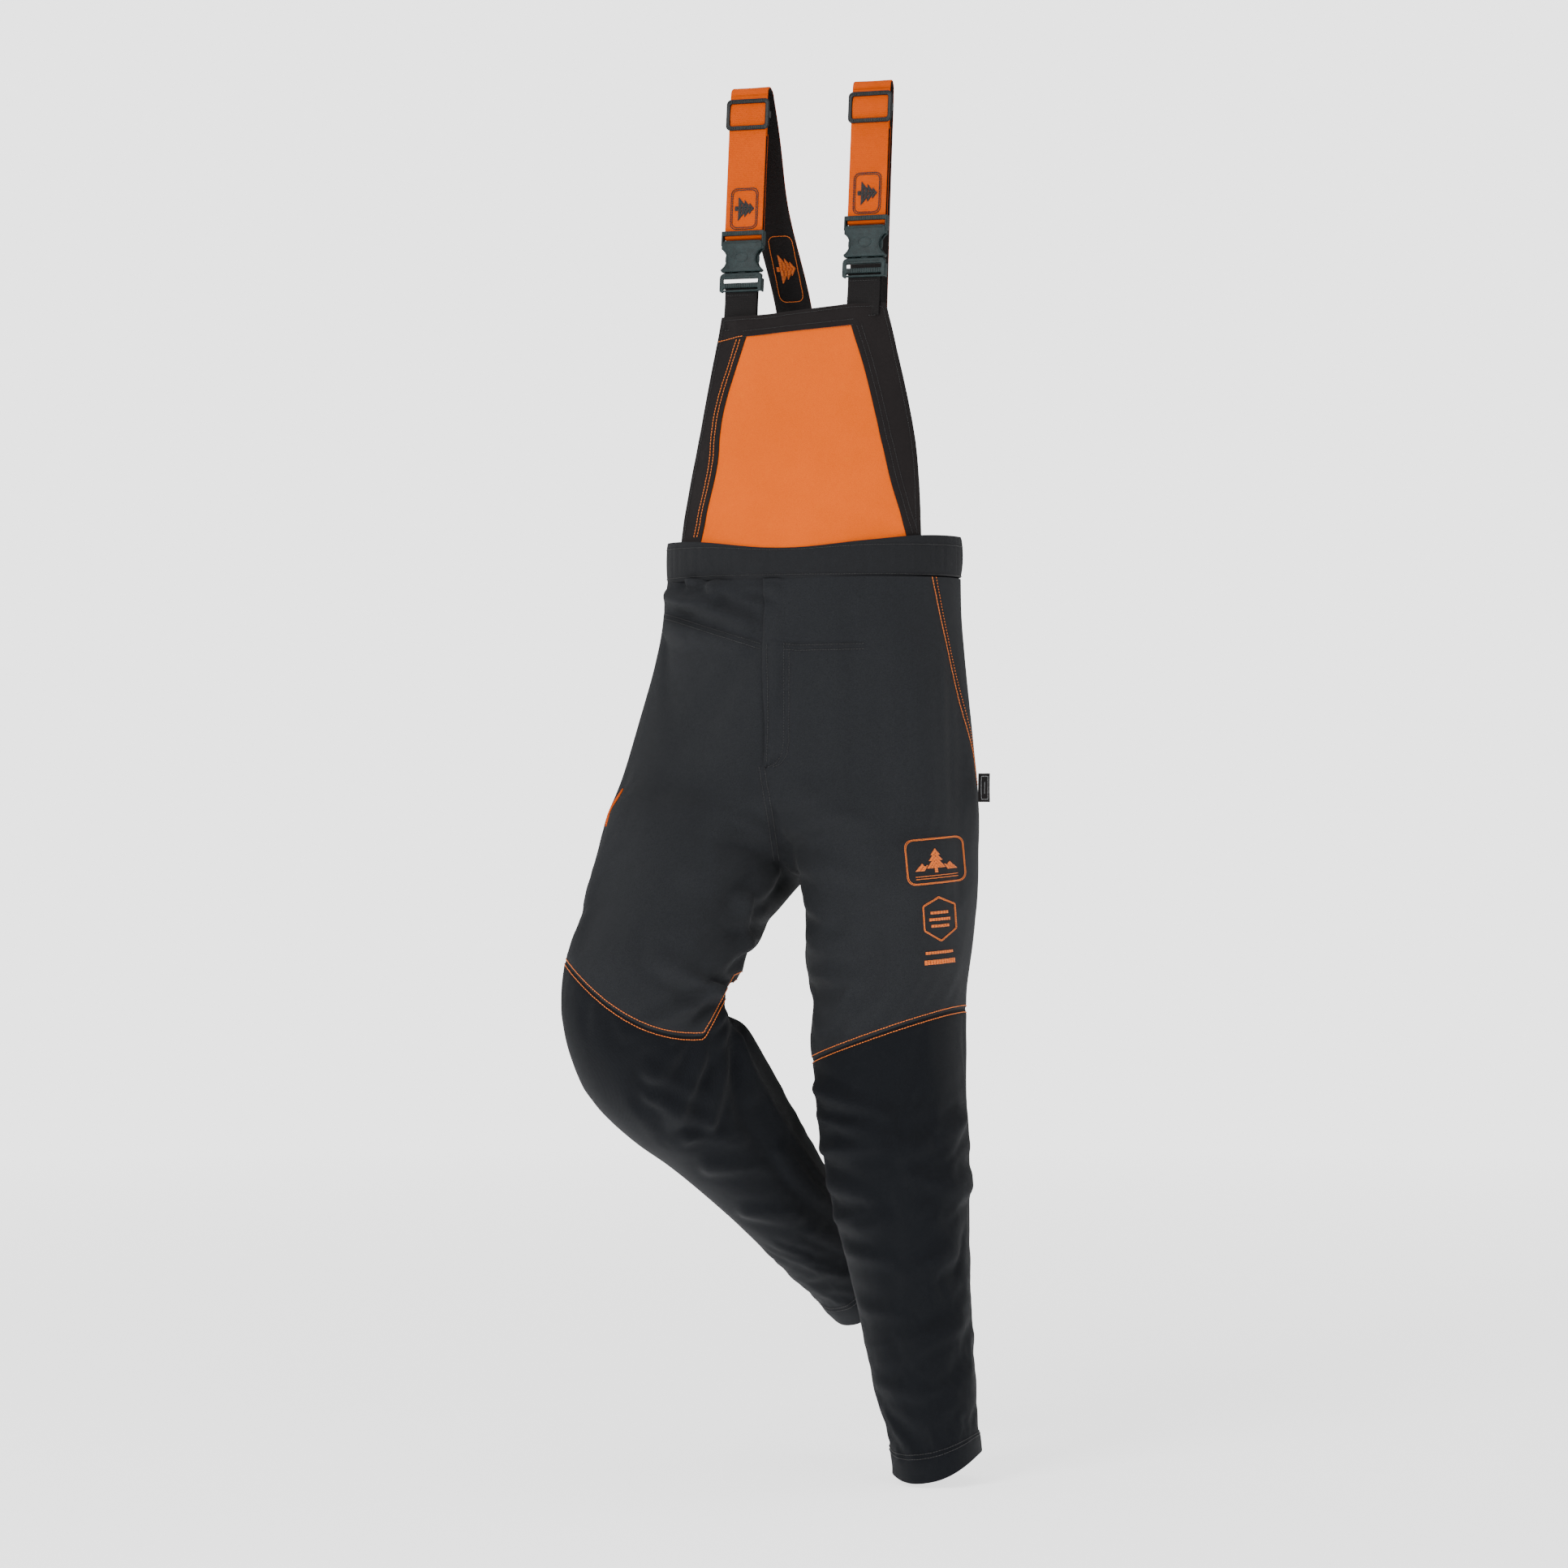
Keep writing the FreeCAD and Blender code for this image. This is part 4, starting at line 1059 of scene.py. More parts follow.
def shell_piece(name, co, normal, below, quads, uv, thick):
    used = np.unique(quads)
    index = np.full(len(co), -1)
    index[used] = np.arange(len(used))
    outer = index[quads]
    n = len(used)
    inner = outer[:, ::-1] + n
    edges = {}
    for q in outer:
        for a, b in zip(q, np.roll(q, -1)):
            edges[(a, b)] = edges.get((a, b), 0) + 1
    rim = [(b, a) for (a, b) in edges if (b, a) not in edges]
    rim_faces = [(a, b, b + n, a + n) for a, b in rim]
    verts = np.concatenate([co[used], co[used] - normal[used] * thick])
    faces = [tuple(f) for f in outer] + [tuple(f) for f in inner] + rim_faces
    uvs = np.concatenate([uv.reshape(-1, 2), uv[:, ::-1].reshape(-1, 2), np.zeros((len(rim_faces) * 4, 2))])
    obj = new_object(name, verts, faces, "trousers", uvs=uvs)
    obj.data.materials.append(MATERIALS["lining"])
    kinds = np.zeros(len(faces), np.int32)
    kinds[len(outer):len(outer) + len(inner)] = 1
    obj.data.polygons.foreach_set("material_index", kinds)
    with_values(obj, below=np.concatenate([below[used], below[used]]))
    shade = []
    for f in outer:
        shade.extend(normal[used[i]] for i in f)
    for f in inner:
        shade.extend(-normal[used[i - n]] for i in f)
    for f in rim_faces:
        a, b, c = verts[f[0]], verts[f[1]], verts[f[2]]
        face_normal = np.cross(b - a, c - a)
        face_normal /= np.linalg.norm(face_normal) + 1e-12
        shade.extend([face_normal] * 4)
    obj.data.normals_split_custom_set([tuple(map(float, v)) for v in shade])
    return obj


def trouser_material():
    """Charcoal weave above the knee seam and darker, bluer cloth below it."""
    m = Nodes("trouser_cloth")
    uv = m.node("UVMap", uv_map="weave").outputs[0]
    place = m.node("TexCoord").outputs["Object"]
    low = m.maths("GREATER_THAN", m.node("Attribute", attribute_name="below").outputs["Fac"], 0.0)
    split = m.node("SeparateXYZ")
    m.link(uv, split.inputs[0])
    turn = 2 * math.pi / 0.0012
    u = m.maths("MULTIPLY", split.outputs[0], turn)
    v = m.maths("ADD", m.maths("MULTIPLY", split.outputs[1], turn),
                m.maths("MULTIPLY", m.noise(place, 260.0, 2.0), 1.6))
    plain = m.maths("MULTIPLY", m.maths("SINE", u), m.maths("SINE", v))
    twill = m.maths("SINE", m.maths("ADD", m.maths("MULTIPLY", u, 0.8), m.maths("MULTIPLY", v, 0.8)))
    weave = m.node("Mix", data_type="FLOAT")
    m.link(low, weave.inputs[0])
    m.link(plain, weave.inputs[2])
    m.link(twill, weave.inputs[3])
    height = m.maths("ADD", m.maths("MULTIPLY", weave.outputs[0], 0.5), 0.5)
    fleck = m.noise(place, 1300.0, 2.0, 0.7)
    broad = m.noise(place, 8.0, 4.0, 0.6)
    worn = m.noise(place, 40.0, 5.0, 0.65)
    tone = m.maths("ADD", m.maths("MULTIPLY", fleck, 0.75), m.maths("MULTIPLY", height, 0.35))
    above = m.ramp(tone, [(0.36, (0.0068, 0.0074, 0.0086)), (0.66, (0.0240, 0.0256, 0.0290))])
    under = m.ramp(tone, [(0.36, (0.0017, 0.0021, 0.0031)), (0.66, (0.0058, 0.0070, 0.0096))])
    colour = m.mix(low, above, under)
    colour = m.mix(0.4, colour, m.ramp(broad, [(0.35, (0.84, 0.84, 0.84)), (0.68, (1.15, 1.15, 1.15))]),
                   "MULTIPLY")
    rubbed = m.ramp(worn, [(0.60, (0.0, 0.0, 0.0)), (0.80, (0.14, 0.14, 0.14))])
    colour = m.mix(rubbed, colour, (0.026, 0.028, 0.031))
    normal = m.bump(worn, 0.0009, 0.35, m.bump(height, 0.00025, 0.8))
    roughness = m.maths("ADD", m.maths("MULTIPLY", fleck, 0.16), 0.74)
    return m.finish(colour, roughness, normal, sheen=0.03, specular=0.13)


MATERIALS["trousers"] = trouser_material()
skin = finish_skin(trouser_shape())
skin_surface = Surface(skin)
side_value, below_value = values_of(skin, "side"), values_of(skin, "below")
knee_lines = {
    side: [
        level_line(skin, below_value, level, keep=(side_value > 0) == (side == "left"))
        for level in (-0.0042, 0.0042)
    ]
    for side in HIP
}
side_seam_value = values_of(skin, "side_seam")
side_lines = [level_line(skin, side_seam_value, level, keep=side_seam_value < 5) for level in (-0.022, 0.012)]
at_value = values_of(skin, "at")
hem_lines = {
    side: [
        chain
        for level in (0.030, 0.0255)
        for chain in level_line(skin, at_value, STATIONS[side][-1, 0] - level,
                                keep=(side_value > 0) == (side == "left"))
    ]
    for side in HIP
}
trousers = split_skin(skin)

REPLACED = {
    "hip_left": ["hip_front_left", "seat_left", "hip_fold_left", "thigh_front_left", "thigh_back_left",
                 "thigh_pad_left",
                 "thigh_lining_left", "hip_lining", "fly_facing", "fly_underlap"],
    "hip_right": ["hip_front_right", "seat_right", "hip_fold_right", "thigh_front_right", "thigh_back_right",
                  "thigh_pad_right", "thigh_lining_right"],
    "knee_left": ["knee_fold_left", "shin_front_left", "shin_back_left", "shin_pad_left",
                  "shin_lining_left", "hem_band_left"],
    "knee_right": ["knee_fold_right", "shin_front_right", "shin_back_right", "shin_pad_right",
                   "shin_lining_right",
                   "hem_band_right"],
}
for key, obj in trousers.items():
    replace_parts(obj, *REPLACED[key])
    follow(obj, key)

for side, pair in knee_lines.items():
    sewing = Sewing()
    for chains in pair:
        for chain in chains:
            sewing.run(chain, pitch=0.0036, share=0.80, radius=0.00048)
    follow(sewing.make(f"knee_stitch_{side}", "thread_orange"), f"knee_{side}")



# ---------------------------------------------------------------- bib


def bib_depth(x, z):
    """Where the bib's cloth lies at rest before it is eased, at places seen from the front."""
    deep, back = spline([(-0.06, 0.1075, 0.0), (0.0, 0.106, 0.0), (0.145, 0.088, 0.006),
                         (0.32, 0.068, 0.022)], np.ravel(z)).T
    bulge = np.sqrt(np.clip(1 - (np.ravel(x) / 0.186) ** 2, 0.03, 1))
    return (back - deep * bulge).reshape(np.shape(z))


# Edges as rows of height and sideways place.
BIB_OUTER = {
    "right": [(-0.030, -0.150), (0.009, -0.148), (0.130, -0.128), (0.278, -0.104)],
    "left": [(-0.030, 0.158), (0.000, 0.158), (0.0935, 0.152), (0.162, 0.140), (0.232, 0.123),
             (0.289, 0.108)],
}
BIB_PANEL = {
    "right": [(-0.030, -0.124), (0.008, -0.119), (0.093, -0.1015), (0.152, -0.0985), (0.177, -0.0936),
              (0.256, -0.0700)],
    "left": [(-0.030, 0.152), (0.000, 0.147), (0.074, 0.1255), (0.118, 0.1145), (0.193, 0.0945),
             (0.266, 0.0700)],
}
BIB_TOP = [(-0.104, 0.2780), (-0.049, 0.2785), (0.057, 0.2880), (0.108, 0.2890)]
PANEL_TOP = [(-0.070, 0.256), (0.070, 0.266)]
BIB_FOOT = -0.028
BIB_PULLS = [
    ((-0.080, 0.270), (-0.015, 0.090), 0.014, 0.0022),
    ((0.082, 0.275), (0.025, 0.080), 0.014, 0.0022),
    ((-0.140, 0.010), (-0.040, 0.045), 0.011, -0.0022),
    ((0.150, 0.005), (0.050, 0.040), 0.011, -0.0022),
    ((-0.120, 0.120), (-0.060, 0.135), 0.010, 0.0012),
    ((0.135, 0.130), (0.080, 0.120), 0.010, 0.0012),
]


def between(points, u):
    """A place part of the way along a polyline of two-number points, by length."""
    p = np.array(points, float)
    reach = np.concatenate([[0], np.cumsum(np.hypot(*np.diff(p, axis=0).T))])
    at = np.asarray(u) * reach[-1]
    return np.column_stack([np.interp(at, reach, p[:, 0]), np.interp(at, reach, p[:, 1])])


def bib_surface():
    """The bib's cloth as one sheet, eased by a cloth simulation, to which its pieces are fitted."""
    columns, rows = 71, 69
    x, z = np.meshgrid(np.linspace(-0.172, 0.172, columns), np.linspace(-0.035, 0.302, rows))
    verts = np.stack([x, bib_depth(x, z), z], axis=-1).reshape(-1, 3)
    obj = new_object("bib_easing", verts, [f[::-1] for f in grid_faces(rows, columns)])
    flat = verts * (1, 0, 1)
    push = fine_field(flat * (1, 1, 0.5), 21, 0.10, 2) * 0.0012
    for a, b, width, height in BIB_PULLS:
        distance, t = line_distance(flat, (a[0], 0, a[1]), (b[0], 0, b[1]))
        push += ridge(distance, width) * height * (1 - 0.5 * t)
    calm = smooth_step((verts[:, 2] + 0.01) / 0.04)
    verts[:, 1] -= push * calm
    set_points(obj, verts)
    pin = np.maximum(smooth_step(-(verts[:, 2] - 0.002) / 0.01),
                     0.6 * smooth_step((np.abs(verts[:, 0]) - 0.150) / 0.02))
    pin = np.maximum(pin, smooth_step((verts[:, 2] - 0.268) / 0.01) * (np.abs(verts[:, 0]) > 0.055))
    simulate(obj, pin, np.full(len(verts), 0.45) * calm, frames=14, cap=0.004, pressure=0.15, gravity=0.3,
             grow=0.03)
    modified(obj, "SUBSURF", levels=1)
    surface = Surface(obj)
    bpy.data.objects.remove(obj)
    return surface


bib_face = bib_surface()


def on_bib(x, z, lift=0.0):
    """The point and normal of the bib's face at a place seen from the front."""
    hit, normal, _, _ = bib_face.tree.ray_cast(Vector((x, -1.0, z)), Vector((0, 1, 0)))
    if hit is None:
        hit, normal = Vector((x, float(bib_depth(np.array([x]), np.array([z]))[0]), z)), Vector((0, -1, 0))
    if normal.y > 0:
        normal = -normal
    return hit + normal * lift, normal


def bib_line(points, lift=0.0, step=0.004):
    count = max(2, int(np.hypot(*np.diff(np.array(points), axis=0).T).sum() / step))
    return [on_bib(x, z, lift) for x, z in between(points, np.linspace(0, 1, count))]


def edge_points(table, low, high, inset=0.0, count=30):
    z = np.linspace(low, high, count)
    return np.column_stack([spline(table, z)[:, 0] + inset, z])


def fitted_cloth(name, places, rows, columns, lift, thick, material):
    """A sheet over a grid of (x, z) places on the bib, with a real thickness and softened edges."""
    verts = []
    for x, z in places:
        point, _ = on_bib(float(x), float(z), lift)
        verts.append(tuple(point))
    flat = grid_faces(rows, columns)
    a, b, c = (np.array(verts[flat[0][k]]) for k in range(3))
    if np.cross(b - a, c - a)[1] > 0:
        flat = [f[::-1] for f in flat]
    obj = new_object(name, verts, flat, material, uvs=[tuple(places[i]) for f in flat for i in f])
    modified(obj, "SOLIDIFY", thickness=thick, offset=-1.0)
    modified(obj, "BEVEL", width=thick * 0.3, segments=2, limit_method="ANGLE", angle_limit=math.radians(50))
    return obj


def make_bib():
    rows, columns = 77, 61
    right = edge_points(BIB_PANEL["right"], BIB_FOOT, PANEL_TOP[0][1], count=rows)
    left = edge_points(BIB_PANEL["left"], BIB_FOOT, PANEL_TOP[1][1], count=rows)
    across = np.linspace(0, 1, columns)
    places = (right[:, None] * (1 - across[None, :, None]) + left[:, None]
              * across[None, :, None]).reshape(-1, 2)
    panel = fitted_cloth("bib_panel", places, rows, columns, 0.0, 0.0011, "orange")
    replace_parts(panel, "bib_centre_panel", "bib_base")

    lap = 0.0035
    inner = np.concatenate([
        edge_points(BIB_PANEL["right"], BIB_FOOT, PANEL_TOP[0][1] - lap, lap, 60),
        between([(PANEL_TOP[0][0] + lap, PANEL_TOP[0][1] - lap),
                 (PANEL_TOP[1][0] - lap, PANEL_TOP[1][1] - lap)], np.linspace(0, 1, 42))[1:-1],
        edge_points(BIB_PANEL["left"], BIB_FOOT, PANEL_TOP[1][1] - lap, -lap, 60)[::-1],
    ])
    outer = np.concatenate([
        edge_points(BIB_OUTER["right"], BIB_FOOT, BIB_TOP[0][1], 0, 60),
        between(BIB_TOP, np.linspace(0, 1, 42))[1:-1],
        edge_points(BIB_OUTER["left"], BIB_FOOT, BIB_TOP[-1][1], 0, 60)[::-1],
    ])
    strip = 12
    over = np.linspace(0, 1, strip)
    places = (outer[:, None] * (1 - over[None, :, None]) + inner[:, None]
              * over[None, :, None]).reshape(-1, 2)
    border = fitted_cloth("bib_border", places, len(outer), strip, 0.0013, 0.0013, "border")
    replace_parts(border, "bib_border_left", "bib_border_right")

    right = edge_points(BIB_OUTER["right"], BIB_FOOT, BIB_TOP[0][1] - 0.001, 0.001, 61)
    left = edge_points(BIB_OUTER["left"], BIB_FOOT, BIB_TOP[-1][1] - 0.001, -0.001, 61)
    places = (right[:, None] * (1 - across[None, :, None]) + left[:, None]
              * across[None, :, None]).reshape(-1, 2)
    backing = fitted_cloth("bib_backing_cloth", places, 61, columns, -0.0018, 0.0010, "lining")
    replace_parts(backing, "bib_backing")

    orange, dark = Sewing(), Sewing()
    # orange twin line down the right border, dark topstitching round the outside and the panel
    for inset in (-0.0035, -0.0085):
        orange.run(bib_line(edge_points(BIB_PANEL["right"], 0.006, 0.250, inset), 0.0013), 0.0036, 0.8,
                   0.00048)
    orange.run(bib_line([(-0.107, 0.2478), (-0.072, 0.2535)], 0.0013), 0.0036, 0.8, 0.00048)
    ring = [(x, z) for x, z in edge_points(BIB_OUTER["right"], 0.006, 0.274, 0.005, 30)]
    ring += [(x, z - 0.0045) for x, z in between(BIB_TOP, np.linspace(0.03, 0.97, 30))]
    ring += [(x, z) for x, z in edge_points(BIB_OUTER["left"], 0.006, 0.284, -0.005, 30)[::-1]]
    dark.run(bib_line(ring, 0.0013), 0.0032, 0.75, 0.00036)
    for inset in (0.0035, 0.0090):
        dark.run(bib_line(edge_points(BIB_PANEL["left"], 0.006, 0.262, inset), 0.0013), 0.0032, 0.75, 0.00036)
    for drop in (-0.0030, 0.0040):
        line = [(PANEL_TOP[0][0] - 0.002, PANEL_TOP[0][1] - drop),
                (PANEL_TOP[1][0] + 0.002, PANEL_TOP[1][1] - drop)]
        dark.run(bib_line(line, 0.0013), 0.0032, 0.75, 0.00036)
    pieces = {
        "panel": panel,
        "border": border,
        "backing": backing,
        "orange": orange.make("bib_stitch_orange", "thread_orange"),
        "dark": dark.make("bib_stitch_dark", "thread_dark"),
    }
    for obj in pieces.values():
        follow(obj, "bib")


make_bib()


# ---------------------------------------------------------------- waistband


def make_waistband():
    """A two-part band: nearly smooth in front, gathered by its elastic at the back."""
    columns, rows = 340, 17
    turn = np.linspace(-math.pi, math.pi, columns, endpoint=False)
    height = np.linspace(0, 1, rows)
    verts, uvs = [], []
    profile = np.sin(np.pi * np.clip(height, 0, 1)) ** 0.5
    gather = smooth_step((np.sin(turn) + 0.15) / 0.5)
    wave = np.zeros(columns)
    for k, (count, amount) in enumerate(((46, 0.5), (71, 0.35), (103, 0.25))):
        wave += amount * np.sin(turn * count + 1.7 * k + 0.8 * np.sin(turn * (5 + k)))
    for r, h in enumerate(height):
        z = -0.0475 * h + (1 - h) * (0.002 - 0.012 * np.exp(-((turn + math.pi / 2) / 0.5) ** 2))
        rib = (0.0005 + 0.0013 * gather) * wave * math.sin(math.pi * min(1.0, h * 1.1)) ** 0.6
        out = 0.0012 + 0.0012 * profile[r] + rib
        x = (0.186 + out) * np.sign(np.cos(turn)) * np.abs(np.cos(turn)) ** 0.96
        y = (0.1068 + out) * np.sign(np.sin(turn)) * np.abs(np.sin(turn)) ** 0.96
        drop = 0.0035 * smooth_step((np.cos(turn) - 0.55) / 0.4)
        verts.extend(np.column_stack([x, y, z + drop]))
    faces = grid_faces(rows, columns, closed=True)
    girth = 0.94
    for f in faces:
        for i in f:
            r, c = divmod(i, columns)
            first = f[0] % columns
            c = c + columns if c < first else c
            uvs.append((c / columns * girth, -height[r] * 0.0475))
    faces = [f[::-1] for f in faces]
    uvs = [uvs[4 * k + 3 - j] for k in range(len(faces)) for j in range(4)]
    band = new_object("trousers_waistband", verts, faces, "border_dark", uvs=uvs)
    modified(band, "SOLIDIFY", thickness=0.003, offset=-1.0)
    modified(band, "BEVEL", width=0.0009, segments=2, limit_method="ANGLE", angle_limit=math.radians(50))
    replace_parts(band, "waistband_front", "waistband_back", "waist_elastic")
    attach(band, "hips")
    surface = Surface(band)
    sewing = Sewing()
    for z in (-0.0425, -0.0065):
        line = []
        for angle in np.linspace(-math.pi, math.pi, 420):
            low = (0.006 if z > -0.01 else 0.0) * math.exp(-(((angle + math.pi / 2) / 0.5) ** 2))
            place = Vector((0.25 * math.cos(angle), 0.17 * math.sin(angle), z - low))
            aim = Vector((-math.cos(angle) * 0.25, -math.sin(angle) * 0.17, 0)).normalized()
            hit, normal, _, _ = surface.tree.ray_cast(place, aim)
            if hit is not None:
                line.append((hit, normal))
        sewing.run(line, 0.0032, 0.75, 0.00038)
    stitch = sewing.make("waistband_stitch", "thread_dark")
    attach(stitch, "hips")


MATERIALS["border_dark"] = cloth_material("waistband_cloth", (0.0050, 0.0052, 0.0060),
                                          (0.0175, 0.0185, 0.0210), 0.0012, sheen=0.03)
make_waistband()


# ---------------------------------------------------------------- braces and their hardware


def strap_matrix(side):
    """From a strap's own millimetres (across, back, up) to the frame in metres."""
    rise = 0.290 if side == "left" else 0.278
    return (
        Matrix.Translation((SIGN[side] * 0.080, -0.043, rise))
        @ Matrix.Rotation(math.radians(-6.7), 4, "X")
        @ Matrix.Scale(0.001, 4)
    )


ADJUSTER_AT = {"left": 243.0, "right": 254.0}
STRAP_TOP = {"left": 266.0, "right": 278.0}
BUCKLE_AT = 31.0


def ribbon(name, path, across, width, thick, faces=("web_orange", "web_dark"), step=0.003, edge=0.0012):
    """Webbing of a real width and thickness along a smooth path; the first material is its outer face."""
    p, w = np.array(path, float), np.array(across, float)
    reach = np.concatenate([[0], np.cumsum(np.linalg.norm(np.diff(p, axis=0), axis=1))])
    count = max(8, int(reach[-1] / step))
    at = np.linspace(0, reach[-1], count)
    line = spline(np.column_stack([reach, p]), at)
    wide = spline(np.column_stack([reach, w]), at)
    tangent = np.gradient(line, axis=0)
    tangent /= np.linalg.norm(tangent, axis=1)[:, None]
    wide -= np.sum(wide * tangent, axis=1)[:, None] * tangent
    wide /= np.linalg.norm(wide, axis=1)[:, None]
    out = np.cross(wide, tangent)
    half, t = width / 2, thick / 2
    top = [(-half + edge * (1 - math.cos(a)), t * math.sin(a)) for a in (0.0, 0.7, 1.35)]
    columns = 11
    flat = [(x, t) for x in np.linspace(-half + edge * 1.6, half - edge * 1.6, columns)]
    ring = top + flat + [(-x, y) for x, y in reversed(top)]
    ring += [(x, -y) for x, y in reversed(ring[1:-1])]
    n = len(ring)
    upper = len(top) + columns + len(top)
    verts, quads, uvs, kinds = [], [], [], []
    for k in range(count):
        for x, y in ring:
            cord = 0.00012 * math.cos(x / half * math.pi * 9) if abs(x) < half * 0.93 else 0.0
            verts.append(line[k] + wide[k] * x + out[k] * (y + math.copysign(cord, y)))
    for k in range(count - 1):
        for c in range(n):
            m = (c + 1) % n
            quads.append((k * n + c, k * n + m, (k + 1) * n + m, (k + 1) * n + c))
            for row, column in ((k, c), (k, m), (k + 1, m), (k + 1, c)):
                uvs.append((ring[column][0], at[row]))
            kinds.append(0 if c < upper or c >= n - 1 else 1)
    quads.append(tuple(range(n - 1, -1, -1)))
    quads.append(tuple((count - 1) * n + c for c in range(n)))
    uvs += [(0.0, 0.0)] * (2 * n)
    kinds += [0, 0]
    obj = new_object(name, verts, quads, faces[0], uvs=uvs)
    obj.data.materials.append(MATERIALS[faces[1]])
    obj.data.polygons.foreach_set("material_index", kinds)
    recalculated(obj)
    return obj


def recalculated(obj):
    """Turns every face of a closed mesh outwards."""
    work = bmesh.new()
    work.from_mesh(obj.data)
    bmesh.ops.recalc_face_normals(work, faces=work.faces)
    work.to_mesh(obj.data)
    work.free()
    obj.data.update()


def placed(matrix, points):
    return [matrix @ Vector(p) for p in points]


def make_brace(side):
    m = strap_matrix(side)
    g = SIGN[side]
    bar = BUCKLE_AT + 66.8
    glide, top = ADJUSTER_AT[side], STRAP_TOP[side]
    across = (m.to_3x3() @ Vector((1, 0, 0))).normalized()
    # the return layer from the adjuster's bar down round the socket's bar, then the front layer up to the top
    path = [(0, 6.9, glide - 24), (0, 6.6, glide - 40), (0, 6.2, (glide + bar) / 2), (0, 6.6, bar + 14),
            (0, 6.9, bar + 6)]
    path += [(0, 3.3 + 3.6 * math.cos(a), bar + 3.4 - 3.6 * math.sin(a)) for a in (0.5, 1.1, 1.7, 2.3, 2.8)]
    path += [(0, -0.4, bar + 8), (0, -0.4, bar + 20), (0, -0.4, (glide + bar) / 2), (0, -0.5, glide - 34)]
    path += [(0, -0.6, glide - 19), (0, -1.6, glide - 9), (0, -2.3, glide), (0, -1.6, glide + 9),
             (0, -0.1, glide + 19), (0, 0, top)]
    line = placed(m, path)
    front = ribbon(f"brace_front_{side}_webbing", line, [across] * len(line), 0.049, 0.0015)
    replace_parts(front, f"brace_front_{side}")
    start, end = m @ Vector((0, 0, glide - 30)), m @ Vector((0, 0, bar + 14))
    tuple(start)
    tuple(end)
    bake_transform(front)

    # the return layer's sewn loop round the adjuster's bar, which slides with the adjuster
    loop = [(0, 5.9, glide - 26), (0, 5.2, glide - 12), (0, 5.9, glide - 3)]
    loop += [(0, 3.5 + 2.6 * math.cos(a), glide + 2.6 * math.sin(a) + 1.4) for a in (0.3, 1.0, 1.6, 2.2, 2.8)]
    loop += [(0, 1.4, glide - 3), (0, 3.1, glide - 12), (0, 4.2, glide - 26)]
    line = placed(m, loop)
    small = ribbon(f"adjuster_loop_{side}", line, [across] * len(line), 0.047, 0.0012, step=0.0015)
    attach(small, f"{side}_adjuster")

    crown = np.array(m @ Vector((0, 0, top)))
    drop = {
        "left": [(0.054, 0.052, 0.300), (0.040, 0.080, 0.165), (0.030, 0.1050, 0.090),
                 (0.0275, 0.1058, 0.014)],
        "right": [(-0.046, 0.055, 0.300), (-0.035, 0.082, 0.165), (-0.029, 0.1050, 0.090),
                  (-0.0275, 0.1058, 0.014)],
    }[side]
    back = [crown, crown + (0, 0.0018, 0.0070), crown + (-g * 0.0004, 0.0085, 0.0105),
            crown + (-g * 0.001, 0.0150, 0.0060)]
    back += [crown + (-g * 0.002, 0.0185, -0.006), crown + (-g * 0.006, 0.0260, -0.045),
             crown + (-g * 0.013, 0.0370, -0.130)]
    back += [np.array(p) for p in drop]
    ways = [np.array(across)] * 4 + [unit((1, 0, -0.04 * g)),
                                     unit((1, 0.02 * g, 0.08 * g))] + [unit((1, 0.04 * g, 0.10 * g))] * 3
    ways += [unit((1, -0.10 * g, 0.10 * g)), unit((1, -0.12 * g, 0.05 * g))]
    run = ribbon(f"brace_back_{side}_webbing", back, ways, 0.049, 0.0015)
    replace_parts(run, f"brace_back_{side}")
    follow(run, "back")

    tab = [(0, 5.4, -22), (0, 5.4, -4), (0, 5.2, 22), (0, 5.6, 33)]
    tab += [(0, 3.0 + 2.8 * math.cos(a), 38.6 + 2.8 * math.sin(a)) for a in (0.4, 1.1, 1.8, 2.5)]
    tab += [(0, 0.0, 33), (0, 0.3, 20), (0, -0.6, 2), (0, -2.2, -16)]
    line = placed(m, tab)
    piece = ribbon(f"strap_tab_{side}_webbing", line, [across] * len(line), 0.042, 0.0014,
                   ("web_dark", "web_dark"), step=0.002)
    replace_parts(piece, f"strap_tab_{side}")
    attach(piece, "bib")


for brace_side in HIP:
    make_brace(brace_side)


# ---------------------------------------------------------------- moulded buckles and adjusters


def arc(x, z, radius, start, end, count=7):
    """Points along an arc given in degrees, measured from the wearer's left towards up."""
    return [(x + radius * math.cos(a), z + radius * math.sin(a))
            for a in np.radians(np.linspace(start, end, count))]


def rounded(half, low, high, radius):
    """A rounded rectangle about x = 0."""
    corners = ((half, high, 0), (-half, high, 90), (-half, low, 180), (half, low, 270))
    points = []
    for x, z, turn in corners:
        cx, cz = x - math.copysign(radius, x), z + (-radius if z == high else radius)
        points += arc(cx, cz, radius, turn, turn + 90, 6)
    return points


